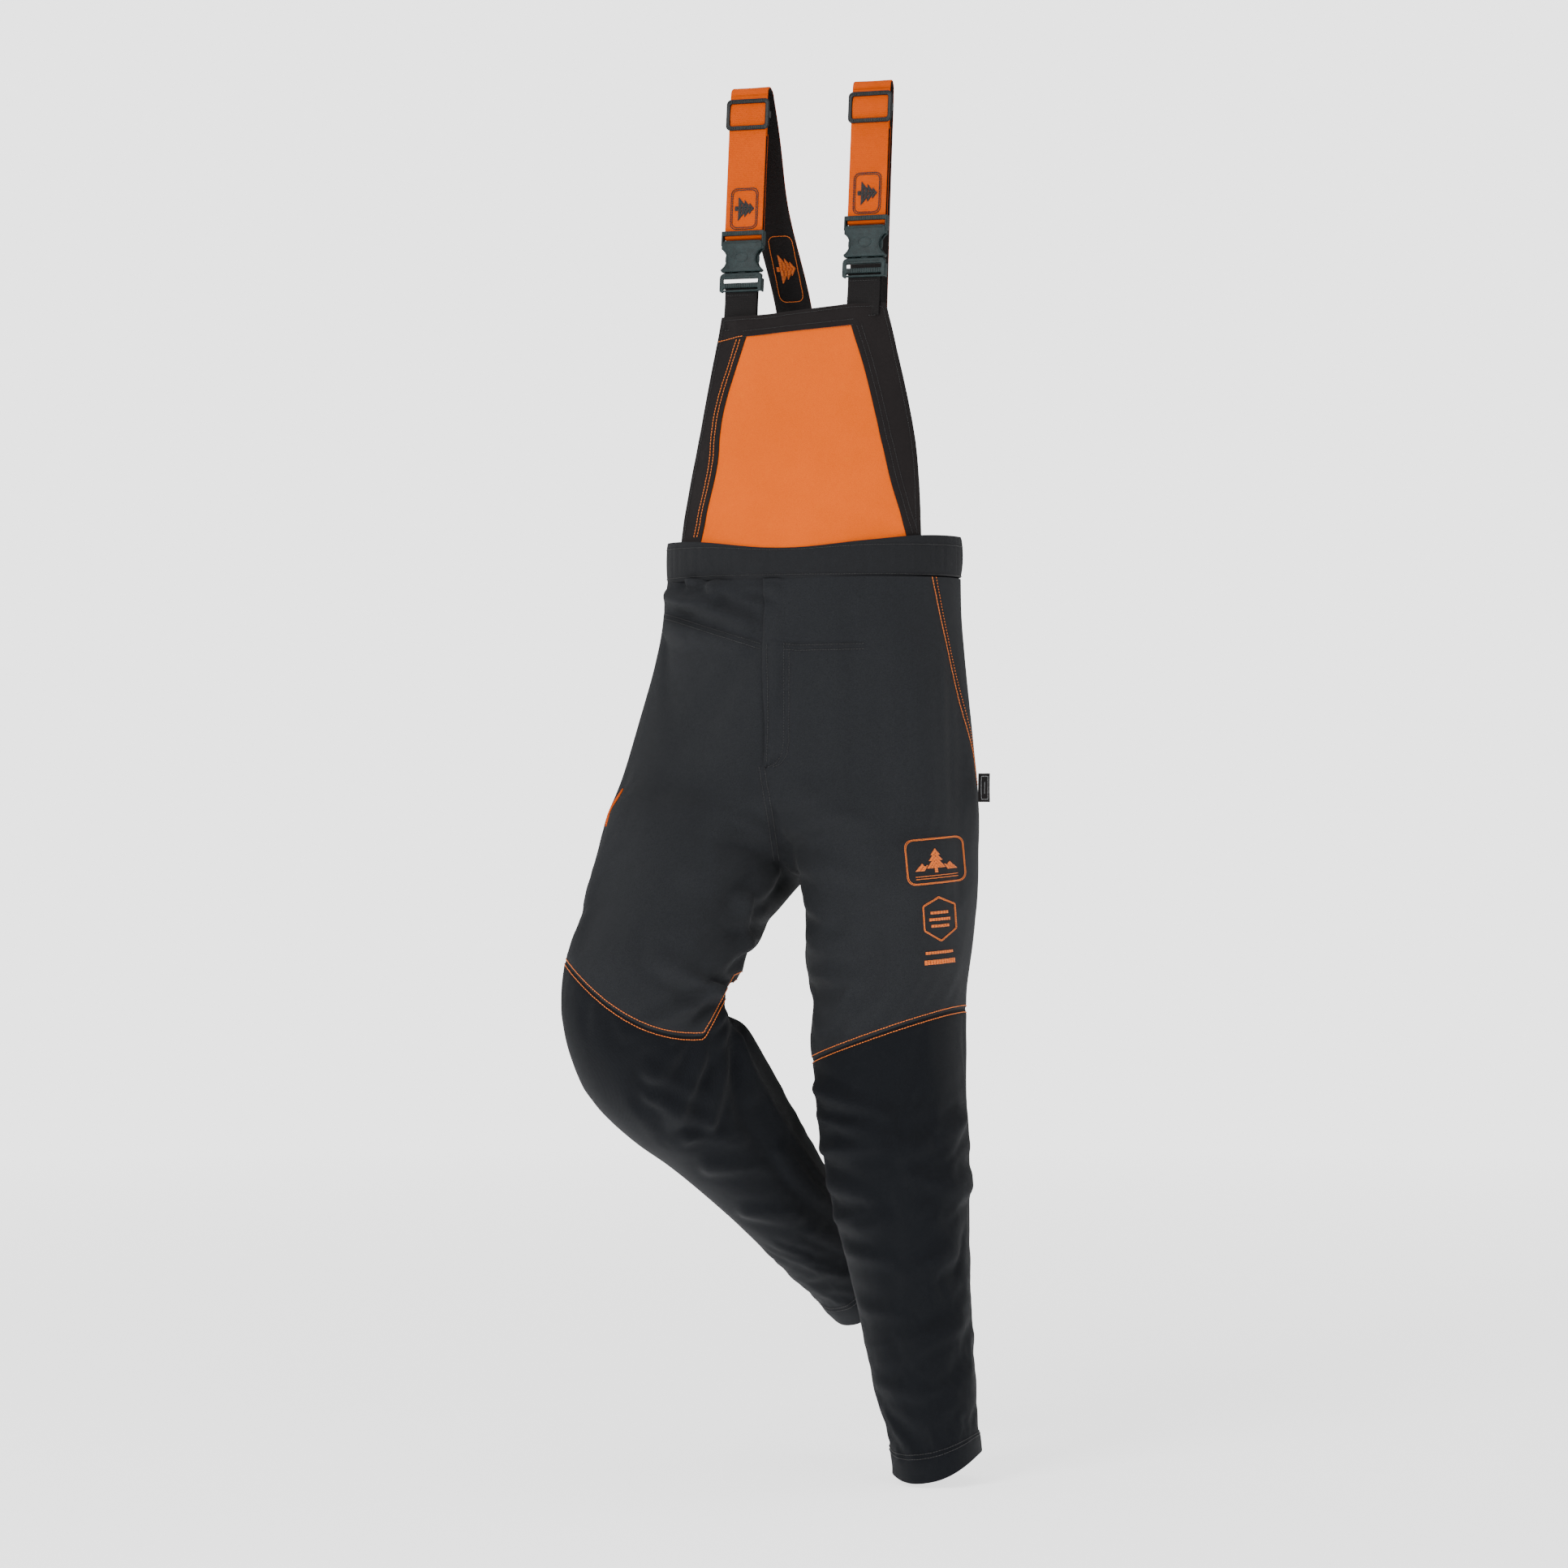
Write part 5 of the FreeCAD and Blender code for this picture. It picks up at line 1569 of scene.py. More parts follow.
class Moulding:
    """Collects bevelled plates, in a strap's own millimetres, into one mesh."""

    def __init__(self):
        self.verts, self.faces = [], []

    def plate(self, outline, front, back, holes=(), bevel=0.6):
        curve = bpy.data.curves.new("moulding", "CURVE")
        curve.dimensions, curve.fill_mode = "2D", "BOTH"
        bevel = min(bevel, (back - front) * 0.35)
        curve.extrude = (back - front) / 2 - bevel
        curve.bevel_depth, curve.bevel_resolution, curve.offset = bevel, 2, -bevel
        for points in (outline, *holes):
            line = curve.splines.new("POLY")
            line.points.add(len(points) - 1)
            for point, (x, z) in zip(line.points, points):
                point.co = (x, z, 0, 1)
            line.use_cyclic_u = True
        holder = bpy.data.objects.new("moulding", curve)
        bpy.context.scene.collection.objects.link(holder)
        graph = bpy.context.evaluated_depsgraph_get()
        mesh = bpy.data.meshes.new_from_object(holder.evaluated_get(graph), depsgraph=graph)
        middle, base = (front + back) / 2, len(self.verts)
        self.verts += [(v.co.x, middle - v.co.z, v.co.y) for v in mesh.vertices]
        self.faces += [tuple(base + i for i in p.vertices) for p in mesh.polygons]
        bpy.data.objects.remove(holder)
        bpy.data.curves.remove(curve)
        bpy.data.meshes.remove(mesh)
        return self

    def bar(self, x0, x1, front, back, low, high, bevel=0.6, radius=0.8):
        radius = min(radius, (x1 - x0) * 0.45, (high - low) * 0.45)
        middle = (x0 + x1) / 2
        ring = [(x + middle, z) for x, z in rounded((x1 - x0) / 2, low, high, radius)]
        return self.plate(ring, front, back, bevel=bevel)

    def make(self, name, matrix, material="buckle", rise=0.0):
        places = [matrix @ Vector((x, y, z + rise)) for x, y, z in self.verts]
        obj = new_object(name, places, self.faces, material, smooth=False)
        work = bmesh.new()
        work.from_mesh(obj.data)
        bmesh.ops.remove_doubles(work, verts=work.verts, dist=0.00001)
        bmesh.ops.recalc_face_normals(work, faces=work.faces)
        for edge in work.edges:
            edge.smooth = len(edge.link_faces) == 2 and edge.calc_face_angle(0) < 0.6
        for face in work.faces:
            face.smooth = True
        work.to_mesh(obj.data)
        work.free()
        return obj


def notched(low, high):
    """The socket's outline: a waist between two round notches, and soft shoulders."""
    half = 26.5
    right = [(half - 2, low), (half, low + 1.5)] + arc(34.5, 41, 15, 238, 122,
                                                       15) + [(half, high
                                                               - 5)] + arc(half - 5, high - 5, 5, 0, 90, 6)
    return right + [(-x, z) for x, z in reversed(right)]


def make_buckle(side):
    matrix = strap_matrix(side)
    plug = Moulding()
    face = [(27.6, 4), (27.6, 15)] + arc(21.6, 17.5, 6, 0, 90, 7)
    face = [(25.6, 0), (27.6, 2)] + face + [(-x, z) for x, z in reversed([(25.6, 0), (27.6, 2)] + face)]
    windows = [rounded(22.4, 11.0, 16.6, 1.2), rounded(22.4, 2.4, 4.8, 1.0)]
    plug.plate(face, -4.4, -1.6, windows, 0.8)
    for hand in (-1, 1):
        x0, x1 = sorted((25.2 * hand, 27.6 * hand))
        plug.bar(x0, x1, -3.6, 5.6, 0.6, 17.0)
    plug.bar(-26.8, 26.8, 1.8, 5.6, 5, 10)
    plug.bar(-26.0, 26.0, -2.4, 4.4, 17.2, 23.4, 0.8, 2.5)
    plug.bar(-5, 5, -2.4, 2.4, 22.5, 51, 0.8, 2.0)
    for k in range(15):
        x = (k - 7) * 2.9
        plug.bar(x - 0.8, x + 0.8, -5.1, -4.2, 5.2, 10.8, 0.25, 0.4)
    plug.bar(-20, 20, -5.0, -4.2, 19.2, 20.4, 0.3, 0.5)
    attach(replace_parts(plug.make(f"plug_{side}", matrix, rise=BUCKLE_AT), f"buckle_plug_{side}"), "bib")

    socket = Moulding()
    socket.plate(notched(25, 64), -5.5, -3.1, bevel=1.0)
    socket.plate(notched(25, 64), 3.1, 5.5, bevel=1.0)
    arch = [(26.3, 54.2), (26.3, 59.5)] + arc(22.3, 59.8, 4, 0, 90, 5)
    arch = [(22.5, 54.2)] + arch
    arch = arch + [(-x, z) for x, z in reversed(arch)] + [(-22.5, 58), (22.5, 58)]
    socket.plate(arch, -3.4, 3.4, bevel=0.2)
    for hand in (-1, 1):
        x0, x1 = sorted((25.2 * hand, 27.6 * hand))
        socket.bar(x0, x1, -4.4, 5.6, 58, 76.4, 0.7, 1.1)
        x0, x1 = sorted((22.6 * hand, 26.3 * hand))
        socket.bar(x0, x1, -3.4, 3.4, 25.2, 28.0, 0.4)
        # raised lip beside each notch
        outer = arc(34.5, 41, 17.0, 136, 224, 13)
        inner = arc(34.5, 41, 15.6, 224, 136, 13)
        socket.plate([(x * hand, z) for x, z in outer + inner], -6.1, -5.2, bevel=0.25)
    socket.bar(-26.8, 26.8, -4.4, -1.4, 70.5, 76.5, 0.8, 1.2)
    socket.bar(-26.8, 26.8, 1.8, 5.6, 70.5, 75.5, 0.8, 1.2)
    socket.bar(-23, 23, -6.0, -5.2, 60.6, 61.8, 0.3, 0.5)
    socket.plate([(9 * math.cos(a), 43 + 6.5 * math.sin(a))
                  for a in np.linspace(0, 2 * math.pi, 32, endpoint=False)],
                 -5.95, -5.2, [[(7.6 * math.cos(a), 43 + 5.1 * math.sin(a))
                                for a in np.linspace(0, 2 * math.pi, 32, endpoint=False)]], 0.2)
    for k in range(15):
        x = (k - 7) * 2.9
        socket.bar(x - 0.7, x + 0.7, -4.9, -4.2, 71.3, 75.7, 0.25, 0.4)
    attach(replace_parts(socket.make(f"socket_{side}", matrix, rise=BUCKLE_AT), f"buckle_socket_{side}"),
            f"{side}_socket")

    for place_name, hand in (("outer", SIGN[side]), ("inner", -SIGN[side])):
        shape = [(12.6, 24), (16.4, 24), (16.8, 31), (19.6, 33.6), (21.5, 36.5), (22, 39.5), (22, 44),
                 (21, 47.5), (19, 50),
                 (16.4, 51), (13.2, 50.6), (12.6, 48)]
        prong = Moulding().plate([(x * hand, z) for x, z in shape], -2.4, 2.4, bevel=0.9)
        for z in (38, 40.5, 43, 45.5):
            x0, x1 = sorted((15.0 * hand, 21.0 * hand))
            prong.bar(x0, x1, -2.8, -2.2, z - 0.5, z + 0.5, 0.2, 0.3)
        node = f"buckle_prong_{side}_{place_name}"
        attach(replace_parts(prong.make(f"prong_{side}_{place_name}", matrix, rise=BUCKLE_AT), node),
                f"{side}_prong_{place_name}")

    glide = Moulding()
    glide.plate(rounded(28, -19.5, 19.5, 6), -4.4, -1.6, [rounded(23, -14, 14, 2.5)], 0.9)
    for hand in (-1, 1):
        x0, x1 = sorted((25.2 * hand, 27.9 * hand))
        glide.bar(x0, x1, -2.4, 4.8, -4.4, 4.4, 0.6)
    glide.bar(-27.6, 27.6, 2.2, 4.8, -3.5, 3.5, 0.8, 1.4)
    for k in range(16):
        x = (k - 7.5) * 2.8
        for z in (16.8, -16.8):
            glide.bar(x - 0.7, x + 0.7, -4.9, -4.2, z - 1.7, z + 1.7, 0.25, 0.4)
    obj = glide.make(f"glide_{side}", matrix, "buckle_dark", ADJUSTER_AT[side])
    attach(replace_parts(obj, f"adjuster_{side}"), f"{side}_adjuster")


for buckle_side in HIP:
    make_buckle(buckle_side)


# ---------------------------------------------------------------- patches sewn to the trousers and braces


def laid_patch(name, place, rows, columns, lift, thick, material, uv=(0.05, 0.05)):
    """A thin piece laid on a surface; place(u, v) gives a point and a normal for u and v in 0..1."""
    verts, uvs = [], []
    for r in range(rows):
        for c in range(columns):
            u, v = c / (columns - 1), r / (rows - 1)
            point, normal = place(u, v)
            rise = lift(u, v) if callable(lift) else lift
            verts.append(tuple(Vector(point) + Vector(normal) * rise))
    quads = grid_faces(rows, columns)
    middle = quads[len(quads) // 2]
    a, b, c = (Vector(verts[middle[k]]) for k in range(3))
    _, normal = place(0.5, 0.5)
    if (b - a).cross(c - a).dot(Vector(normal)) < 0:
        quads = [q[::-1] for q in quads]
    for q in quads:
        for i in q:
            r, c = divmod(i, columns)
            uvs.append((c / (columns - 1) * uv[0], r / (rows - 1) * uv[1]))
    obj = new_object(name, verts, quads, material, uvs=uvs)
    modified(obj, "SOLIDIFY", thickness=thick, offset=-1.0)
    return obj


def on_skin(side, up):
    hit, normal = skin_surface.seen(side, up)
    return (Vector((side, -0.1, up)), Vector((0, -1, 0))) if hit is None else (hit, normal)


def outline_run(sewing, shape, mapping, pitch=0.0011, radius=0.00042, closed=True):
    """Satin stitches, close together, along a shape in its own metres, laid by mapping(x, z)."""
    points = list(shape) + ([shape[0]] if closed else [])
    length = float(np.hypot(*np.diff(np.array(points), axis=0).T).sum())
    places = between(points, np.linspace(0, 1, max(3, int(length / 0.0015))))
    line = [mapping(x, z) for x, z in places]
    sewing.run(line, pitch * 2.6, 0.98, radius, 0.0002)


def satin(sewing, shape, mapping, rows_apart=0.0011, radius=0.00055):
    """Fills a shape with level rows of embroidery."""
    p = np.array(shape)
    for z in np.arange(p[:, 1].min() + rows_apart / 2, p[:, 1].max(), rows_apart):
        crossings = []
        for (x0, z0), (x1, z1) in zip(p, np.roll(p, -1, axis=0)):
            if (z0 > z) != (z1 > z):
                crossings.append(x0 + (z - z0) / (z1 - z0) * (x1 - x0))
        crossings.sort()
        for x0, x1 in zip(crossings[::2], crossings[1::2]):
            if x1 - x0 > 0.0012:
                count = max(2, int((x1 - x0) / 0.003))
                sewing.run([mapping(x, z) for x in np.linspace(x0, x1, count + 1)], 0.0042, 0.97, radius,
                           0.0001)


def mm(points):
    return [(x / 1000, z / 1000) for x, z in points]


CONIFER = mm([(0, 15), (6, 7), (3.4, 7), (9, 0), (5, 0), (12, -9), (2, -9), (2, -14), (-2, -14), (-2, -9),
              (-12, -9), (-5, 0),
              (-9, 0), (-3.4, 7), (-6, 7)])
RIDGE = mm([(-26, -11), (-17, -2), (-13, -6), (-8, -2), (-14, -11)])


LEAF_HEIGHT, LEAF_TALL, LEAF_HALF_WIDTH = -0.325, 0.046, 0.013


def make_badges():
    """Plain embroidered marks on the front of the left thigh and a leaf-shaped patch at the right hip."""

    def tilted(side, up, angle):
        c, s = math.cos(math.radians(angle)), math.sin(math.radians(angle))
        return lambda x, z: on_skin(side + x * c - z * s, up + x * s + z * c)

    sewing = Sewing()
    first = tilted(0.146, -0.388, 5.0)
    for grow in (0.0, -0.0011):
        ring = mm(rounded(36 + grow * 1000, -27 - grow * 1000, 27 + grow * 1000, 9))
        outline_run(sewing, ring, first)
    satin(sewing, CONIFER, first)
    satin(sewing, RIDGE, first)
    satin(sewing, [(-x, z) for x, z in RIDGE], first)
    for z in (-0.0175, -0.0205):
        outline_run(sewing, [(-0.026, z), (0.026, z)], first, closed=False)
    second = tilted(0.151, -0.458, 4.0)
    hexagon = mm([(0, 27), (20, 17), (20, -13), (0, -27), (-20, -13), (-20, 17)])
    for grow in (1.0, 0.95):
        outline_run(sewing, [(x * grow, z * grow) for x, z in hexagon], second)
    for z, half in ((0.008, 0.011), (0.0, 0.013), (-0.008, 0.011)):
        satin(sewing, [(-half, z - 0.0016), (half, z - 0.0016), (half, z + 0.0016), (-half, z + 0.0016)],
              second)
    third = tilted(0.151, -0.504, 4.0)
    for z, half, tall in ((0.006, 0.017, 0.0016), (-0.005, 0.019, 0.0030)):
        satin(sewing, [(-half, z - tall), (half, z - tall), (half, z + tall), (-half, z + tall)], third)
    follow(sewing.make("thigh_marks", "thread_orange"), "hip_left")

    # the leaf lies where the right hip turns out of sight
    looks = (skin_surface.seen(s, LEAF_HEIGHT)[0] for s in np.arange(-0.290, -0.20, 0.0015))
    edge = next(hit for hit in looks if hit is not None)
    away = VIEW_TURN - 0.95
    middle = edge.x * math.cos(away) + edge.y * math.sin(away) + 0.020

    def leaf(u, v):
        wide = LEAF_HALF_WIDTH * math.sin(math.pi * min(max(v, 0.03), 0.97)) ** 0.7
        hit, normal = skin_surface.seen(middle + (2 * u - 1) * wide, LEAF_HEIGHT + (v - 0.5) * LEAF_TALL,
                                        away)
        return (edge, Vector((-1, 0, 0))) if hit is None else (hit, normal)

    patch = laid_patch("hip_leaf", leaf, 13, 7, 0.0010, 0.0009, "web_orange",
                       (0.018, LEAF_TALL))
    follow(patch, "hip_right")


make_badges()


FLY_TOP, FLY_LENGTH = -0.0470, 0.229


def make_fly():
    """The fly flap over the centre front, with its edge open on the right and its J-stitch on the left."""

    def place(u, v):
        up = FLY_TOP - v * FLY_LENGTH
        right = -0.0605 + 0.0010 * math.sin(v * 9)
        left = -0.0270 - 0.031 * max(0.0, (v - 0.90) / 0.10) ** 1.6
        return on_skin(right + (left - right) * u, up)

    def rise(u, v):
        return 0.0030 - 0.0042 * smooth_step(np.array([(u - 0.35) / 0.65]))[0]

    flap = laid_patch("fly_flap", place, 76, 13, rise, 0.0011, "trousers", (0.032, 0.226))
    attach(flap, "hips")
    dark = Sewing()
    turn = [(-0.030, -0.126), (-0.0300, -0.245), (-0.0330, -0.262), (-0.0400, -0.272), (-0.050, -0.276)]
    for inset in (0.0, 0.0062):
        line = [on_skin(s - inset, z) for s, z in between(turn, np.linspace(0, 1, 60))]
        dark.run(line, 0.0034, 0.72, 0.00040)
    edge = [(-0.0555, -0.128), (-0.0560, -0.270)]
    hits = [on_skin(s, z) for s, z in between(edge, np.linspace(0, 1, 60))]
    dark.run([(h + n * 0.0030, n) for h, n in hits], 0.0036, 0.7, 0.00040)
    for seam in YOKE_SEAMS:
        upright = abs(seam[-1][1] - seam[0][1]) > abs(seam[-1][0] - seam[0][0])
        for drop in (0.0036, 0.0098):
            across, down = (-drop, 0.0) if upright else (0.0, -drop)
            line = [on_skin(s + across, z + down) for s, z in between(seam, np.linspace(0, 1, 60))]
            dark.run(line, 0.0034, 0.72, 0.00042)
    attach(dark.make("front_stitch", "thread_dark"), "hips")


make_fly()


def make_side_seams():
    orange, dark = {side: Sewing() for side in HIP}, {side: Sewing() for side in HIP}
    for chains, share in zip(side_lines, (0.86, 0.50)):
        for chain in chains:
            orange["left"].run(chain, 0.0036, share, 0.00048)
    follow(orange["left"].make("side_stitch_left", "thread_orange"), "hip_left")
    # twin rows round each hem, and down the seat
    for side, chains in hem_lines.items():
        for chain in chains:
            dark[side].run(chain, 0.0034, 0.74, 0.00042)
        follow(dark[side].make(f"hem_stitch_{side}", "thread_dark"), f"knee_{side}")
    seat = Sewing()
    for offset in (-0.0035, 0.0035):
        line = []
        for z in np.linspace(-0.052, -0.330, 90):
            hit, normal, _, _ = skin_surface.tree.ray_cast(Vector((offset, 1.0, z)), Vector((0, -1, 0)))
            if hit is not None:
                line.append((hit, normal))
        seat.run(line, 0.0034, 0.74, 0.00042)
    for g in (-1, 1):
        line = []
        for x in np.linspace(0.004, 0.150, 50):
            hit, normal, _, _ = skin_surface.tree.ray_cast(Vector((x * g, 1.0, -0.112 - 0.16 * x)),
                                                           Vector((0, -1, 0)))
            if hit is not None:
                line.append((hit, normal))
        seat.run(line, 0.0034, 0.74, 0.00042)
        seat.run(shifted(line, 0.006), 0.0034, 0.74, 0.00042)
    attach(seat.make("seat_stitch", "thread_dark"), "hips")


make_side_seams()


def make_back_yoke():
    """The shaped patch at the back that the two braces are sewn to, with a boxed cross on each."""

    def place(u, v):
        x = (2 * u - 1) * (0.058 - 0.007 * v * v)
        z = 0.003 + v * 0.070 - 0.006 * (2 * u - 1) ** 2 * v
        return Vector((x, 0.1046 - 0.9 * x * x + 0.0006 * math.sin(v * 7 + u * 5),
                       z)), Vector((1.8 * x, 1, 0)).normalized()

    patch = laid_patch("back_yoke_patch", place, 31, 37, 0.0, 0.0042, "border_dark",
                       (0.116, 0.070))
    modified(patch, "BEVEL", width=0.0012, segments=2, limit_method="ANGLE", angle_limit=math.radians(50))
    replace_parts(patch, "back_yoke")
    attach(patch, "hips")
    sewing = Sewing()
    inset = [(0.06, 0.05), (0.94, 0.05), (0.94, 0.93), (0.06, 0.93), (0.06, 0.05)]
    sewing.run([(p + n * 0.0004, n) for p,
                n in (place(u, v) for u, v in between(inset, np.linspace(0, 1, 160)))], 0.0034, 0.74, 0.00042)
    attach(sewing.make("back_yoke_stitch", "thread_dark"), "hips")


make_back_yoke()


def make_side_tab():
    """The folded woven tab in the left side seam."""

    def place(u, v):
        curl = 0.0014 * math.sin(math.pi * v)
        return Vector((0.2135 + 0.0145 * u, -0.0008 - curl, -0.318 + 0.035 * v)), Vector((0, -1, 0))

    tab = laid_patch("side_tab_woven", place, 15, 9, 0.0006, 0.0016, "web_dark",
                     (0.0145, 0.035))
    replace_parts(tab, "side_tab")
    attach(tab, "hips")
    pale = Sewing()
    inset = [(0.30, 0.10), (0.88, 0.10), (0.88, 0.90), (0.30, 0.90), (0.30, 0.10)]
    pale.run([(p + n * 0.0008, n) for p,
              n in (place(u, v) for u, v in between(inset, np.linspace(0, 1, 60)))], 0.0016, 0.97, 0.0003)
    pale.run([(p + n * 0.0008, n) for p, n in (place(0.6, v) for v in np.linspace(0.3, 0.7, 12))], 0.0016,
             0.97, 0.0003)
    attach(pale.make("side_tab_mark", "thread_pale"), "hips")


make_side_tab()


def make_strap_marks():
    """Plain conifer marks in rounded outlines woven into the braces, and the sewn ends of the webbing."""
    for side in HIP:
        matrix = strap_matrix(side)
        out = (matrix.to_3x3() @ Vector((0, -1, 0))).normalized()

        def mapping(x, z, centre=BUCKLE_AT + 104.5):
            return matrix @ Vector((x * 1000, -1.25, z * 1000 + centre)), out

        dark = Sewing()
        for half, tall, radius in ((17.5, 25.5, 7.0), (15.5, 23.5, 6.0)):
            outline_run(dark, mm(rounded(half, -tall, tall, radius)), mapping, radius=0.0007)
        satin(dark, [(z * 0.9, -x * 1.3) for x, z in CONIFER], mapping, radius=0.0008)
        mark = dark.make(f"brace_mark_{side}", "thread_dark")
        start, end = matrix @ Vector((0, 0,
                                      ADJUSTER_AT[side] - 30)), matrix @ Vector((0, 0, BUCKLE_AT + 66.8 + 14))
        tuple(start)
        tuple(end)
        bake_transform(mark)
        tab = Sewing()
        for z in (-17.0, 27.0):
            tab.run([(matrix @ Vector((x, -3.0 if z < 0 else -0.7, z)), out)
                     for x in np.linspace(-18, 18, 14)], 0.0032, 0.75, 0.0004)
        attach(tab.make(f"tab_stitch_{side}", "thread_dark"), "bib")
        # each brace's end is sewn to the back patch with a boxed cross
        face = Surface(bpy.data.objects[f"brace_back_{side}_webbing"])
        box = [(-0.018, 0.020), (0.018, 0.020), (0.018, 0.060), (-0.018, 0.060), (-0.018, 0.020),
               (0.018, 0.060)]
        cross, middle = Sewing(), SIGN[side] * 0.0283
        for points in (box, [(0.018, 0.020), (-0.018, 0.060)]):
            line = []
            for x, z in between(points, np.linspace(0, 1, 120)):
                hit, normal, _, _ = face.tree.ray_cast(Vector((middle + x, 1.0, z)), Vector((0, -1, 0)))
                if hit is not None:
                    line.append((hit, normal))
            cross.run(line, 0.0032, 0.75, 0.0004)
        follow(cross.make(f"brace_end_stitch_{side}", "thread_dark"), "back")
    # the mark on the inner face of the right back run, seen between the braces
    inner = Sewing()
    surface = Surface(bpy.data.objects["brace_back_right_webbing"])

    def lay(x, z):
        hit, normal, _, _ = surface.tree.ray_cast(Vector((-0.0515 - 0.13 * z + x, -0.02, 0.345 + z)),
                                                  Vector((0, 1, 0)))
        return (Vector((-0.0515, 0.05, 0.345)), Vector((0, -1, 0))) if hit is None else (hit, normal)

    outline_run(inner, mm(rounded(16.0, -40.0, 40.0, 8.0)), lay, radius=0.0005)
    satin(inner, [(z * 0.9, x * 1.6) for x, z in CONIFER], lay)
    follow(inner.make("brace_back_mark", "thread_orange"), "back")


make_strap_marks()


# ---------------------------------------------------------------- the zip, which stays as it is in CAD


def dress_cad():
    looks = {"zip_tape_left": "web_dark_solid", "zip_tape_right": "web_dark_solid"}
    for name in ("zip_tape_left", "zip_tape_right", "zip_stops", "zip_slider", "zip_pull"):
        obj = bpy.data.objects.get(name)
        if obj is None:
            continue
        material = MATERIALS[looks.get(name, "metal")]
        if obj.material_slots:
            for entry in obj.material_slots:
                entry.material = material
        else:
            obj.data.materials.append(material)


def tape_material():
    """Zip tape: fine twill in object space."""
    m = Nodes("zip_tape_weave")
    place = m.node("TexCoord").outputs["Object"]
    split = m.node("SeparateXYZ")
    m.link(place, split.inputs[0])
    u = m.maths("MULTIPLY", split.outputs[0], 2 * math.pi / 0.0009)
    v = m.maths("MULTIPLY", split.outputs[2], 2 * math.pi / 0.0009)
    height = m.maths("ADD", m.maths("MULTIPLY", m.maths("SINE", m.maths("ADD", u, v)), 0.5), 0.5)
    fleck = m.noise(place, 1500.0, 2.0, 0.7)
    tone = m.maths("ADD", m.maths("MULTIPLY", fleck, 0.7), m.maths("MULTIPLY", height, 0.35))
    colour = m.ramp(tone, [(0.35, (0.006, 0.006, 0.007)), (0.7, (0.030, 0.030, 0.032))])
    return m.finish(colour, 0.85, m.bump(height, 0.0002, 0.8), sheen=0.1, specular=0.25)


MATERIALS["web_dark_solid"] = tape_material()
dress_cad()


# ---------------------------------------------------------------- stage, light and camera


def make_stage():
    """A round pale floor that thins out towards its rim, so that no horizon shows from any side."""
    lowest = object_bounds()[0][2] - 0.004
    material = Nodes("studio_floor")
    place = material.node("TexCoord").outputs["Object"]
    grain = material.noise(place, 30.0, 3.0)
    tint = material.ramp(grain, [(0.3, (0.855, 0.855, 0.855)), (0.7, (0.865, 0.865, 0.865))])
    material.link(tint, material.shader.inputs["Emission Color"])
    material.shader.inputs["Emission Strength"].default_value = FLOOR_GLOW
    reach = material.node("VectorMath", operation="LENGTH")
    material.link(place, reach.inputs[0])
    share = material.maths("MULTIPLY", reach.outputs["Value"], 1 / FLOOR_REACH)
    fade = material.ramp(share, [(0.15, (1.0, 1.0, 1.0)), (0.80, (0.0, 0.0, 0.0))])
    material.link(fade, material.shader.inputs["Alpha"])
    floor_material = material.finish(tint, 1.0, specular=0.0)
    rings, spokes = 12, 72
    verts = [
        (FLOOR_REACH * r / rings * math.cos(a), FLOOR_REACH * r / rings * math.sin(a), 0)
        for r in np.append(0.0005, np.arange(1, rings + 1))
        for a in np.linspace(0, 2 * math.pi, spokes, endpoint=False)
    ]
    faces = grid_faces(rings + 1, spokes, closed=True)
    floor = new_object("studio_floor", verts, faces, floor_material)
    floor.location = (0.0, 0.0, lowest)


FLOOR_REACH = 6.0
FLOOR_GLOW = 1.9
BACKGROUND = 3.2
AMBIENT = 0.42


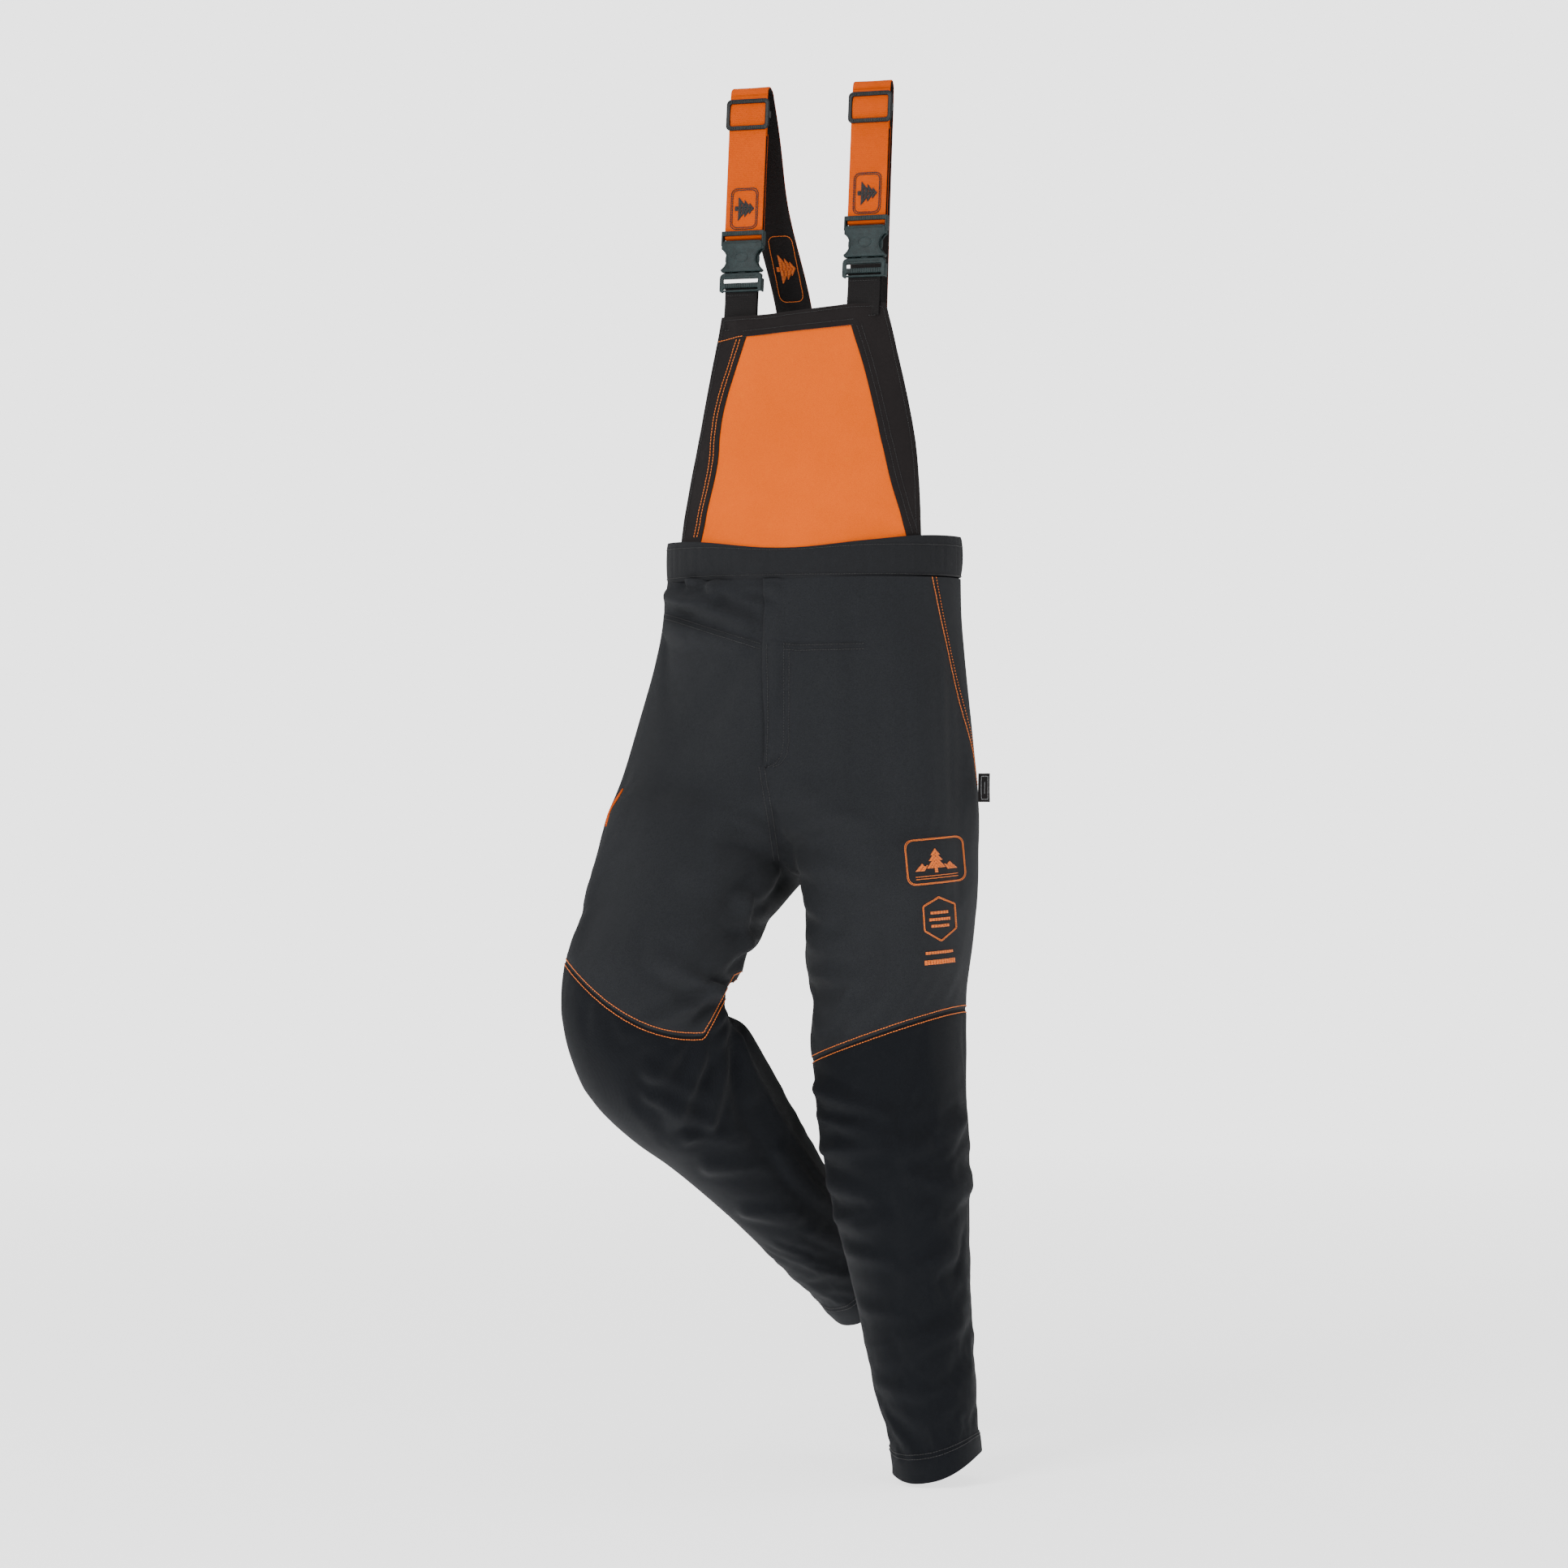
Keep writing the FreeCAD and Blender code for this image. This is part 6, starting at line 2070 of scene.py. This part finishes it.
def area_light(name, place, aim, size, power):
    light = bpy.data.lights.new(name, "AREA")
    light.shape = "SQUARE"
    light.size = size
    light.energy = power
    obj = bpy.data.objects.new(name, light)
    obj.location = place
    obj.rotation_euler = (Vector(aim) - Vector(place)).to_track_quat("-Z", "Y").to_euler()
    bpy.context.scene.collection.objects.link(obj)


CAMERA_LENS_MM = 102.5
CAMERA_SIDE, CAMERA_DISTANCE, CAMERA_HEIGHT = -0.036, 5.5, -0.296


def make_light_and_camera():
    centre = Vector((0.0, 0.0, -0.30))
    side, into = Vector(VIEW_SIDE), Vector(VIEW_INTO)
    up = Vector((0, 0, 1))
    area_light("key", centre - into * 3.0 - side * 2.2 + up * 1.9, centre, 1.6, 118)
    area_light("fill", centre - into * 3.2 + side * 2.6 + up * 0.6, centre, 2.6, 34)
    area_light("top", centre + up * 3.4, centre, 3.0, 46)
    area_light("back_left", centre + into * 1.2 - side * 3.0 + up * 1.0, centre, 1.8, 14)
    area_light("back_right", centre + into * 1.2 + side * 3.0 + up * 0.8, centre, 1.8, 14)
    world = bpy.data.worlds.new("studio")
    world.use_nodes = True
    tree = world.node_tree
    background = tree.nodes["Background"]
    background.inputs[0].default_value = (0.9, 0.9, 0.9, 1)
    # the backdrop is brighter to look at than the light it gives
    path, scale = tree.nodes.new("ShaderNodeLightPath"), tree.nodes.new("ShaderNodeMapRange")
    scale.inputs["To Min"].default_value = AMBIENT
    scale.inputs["To Max"].default_value = BACKGROUND
    tree.links.new(path.outputs["Is Camera Ray"], scale.inputs["Value"])
    tree.links.new(scale.outputs["Result"], background.inputs[1])
    bpy.context.scene.world = world
    data = bpy.data.cameras.new("camera")
    data.lens = CAMERA_LENS_MM
    data.sensor_width = 36
    camera = bpy.data.objects.new("camera", data)
    camera.location = Vector(VIEW_SIDE) * CAMERA_SIDE - into * CAMERA_DISTANCE + up * CAMERA_HEIGHT
    camera.rotation_euler = into.to_track_quat("-Z", "Y").to_euler()
    bpy.context.scene.collection.objects.link(camera)
    bpy.context.scene.camera = camera


make_stage()
make_light_and_camera()
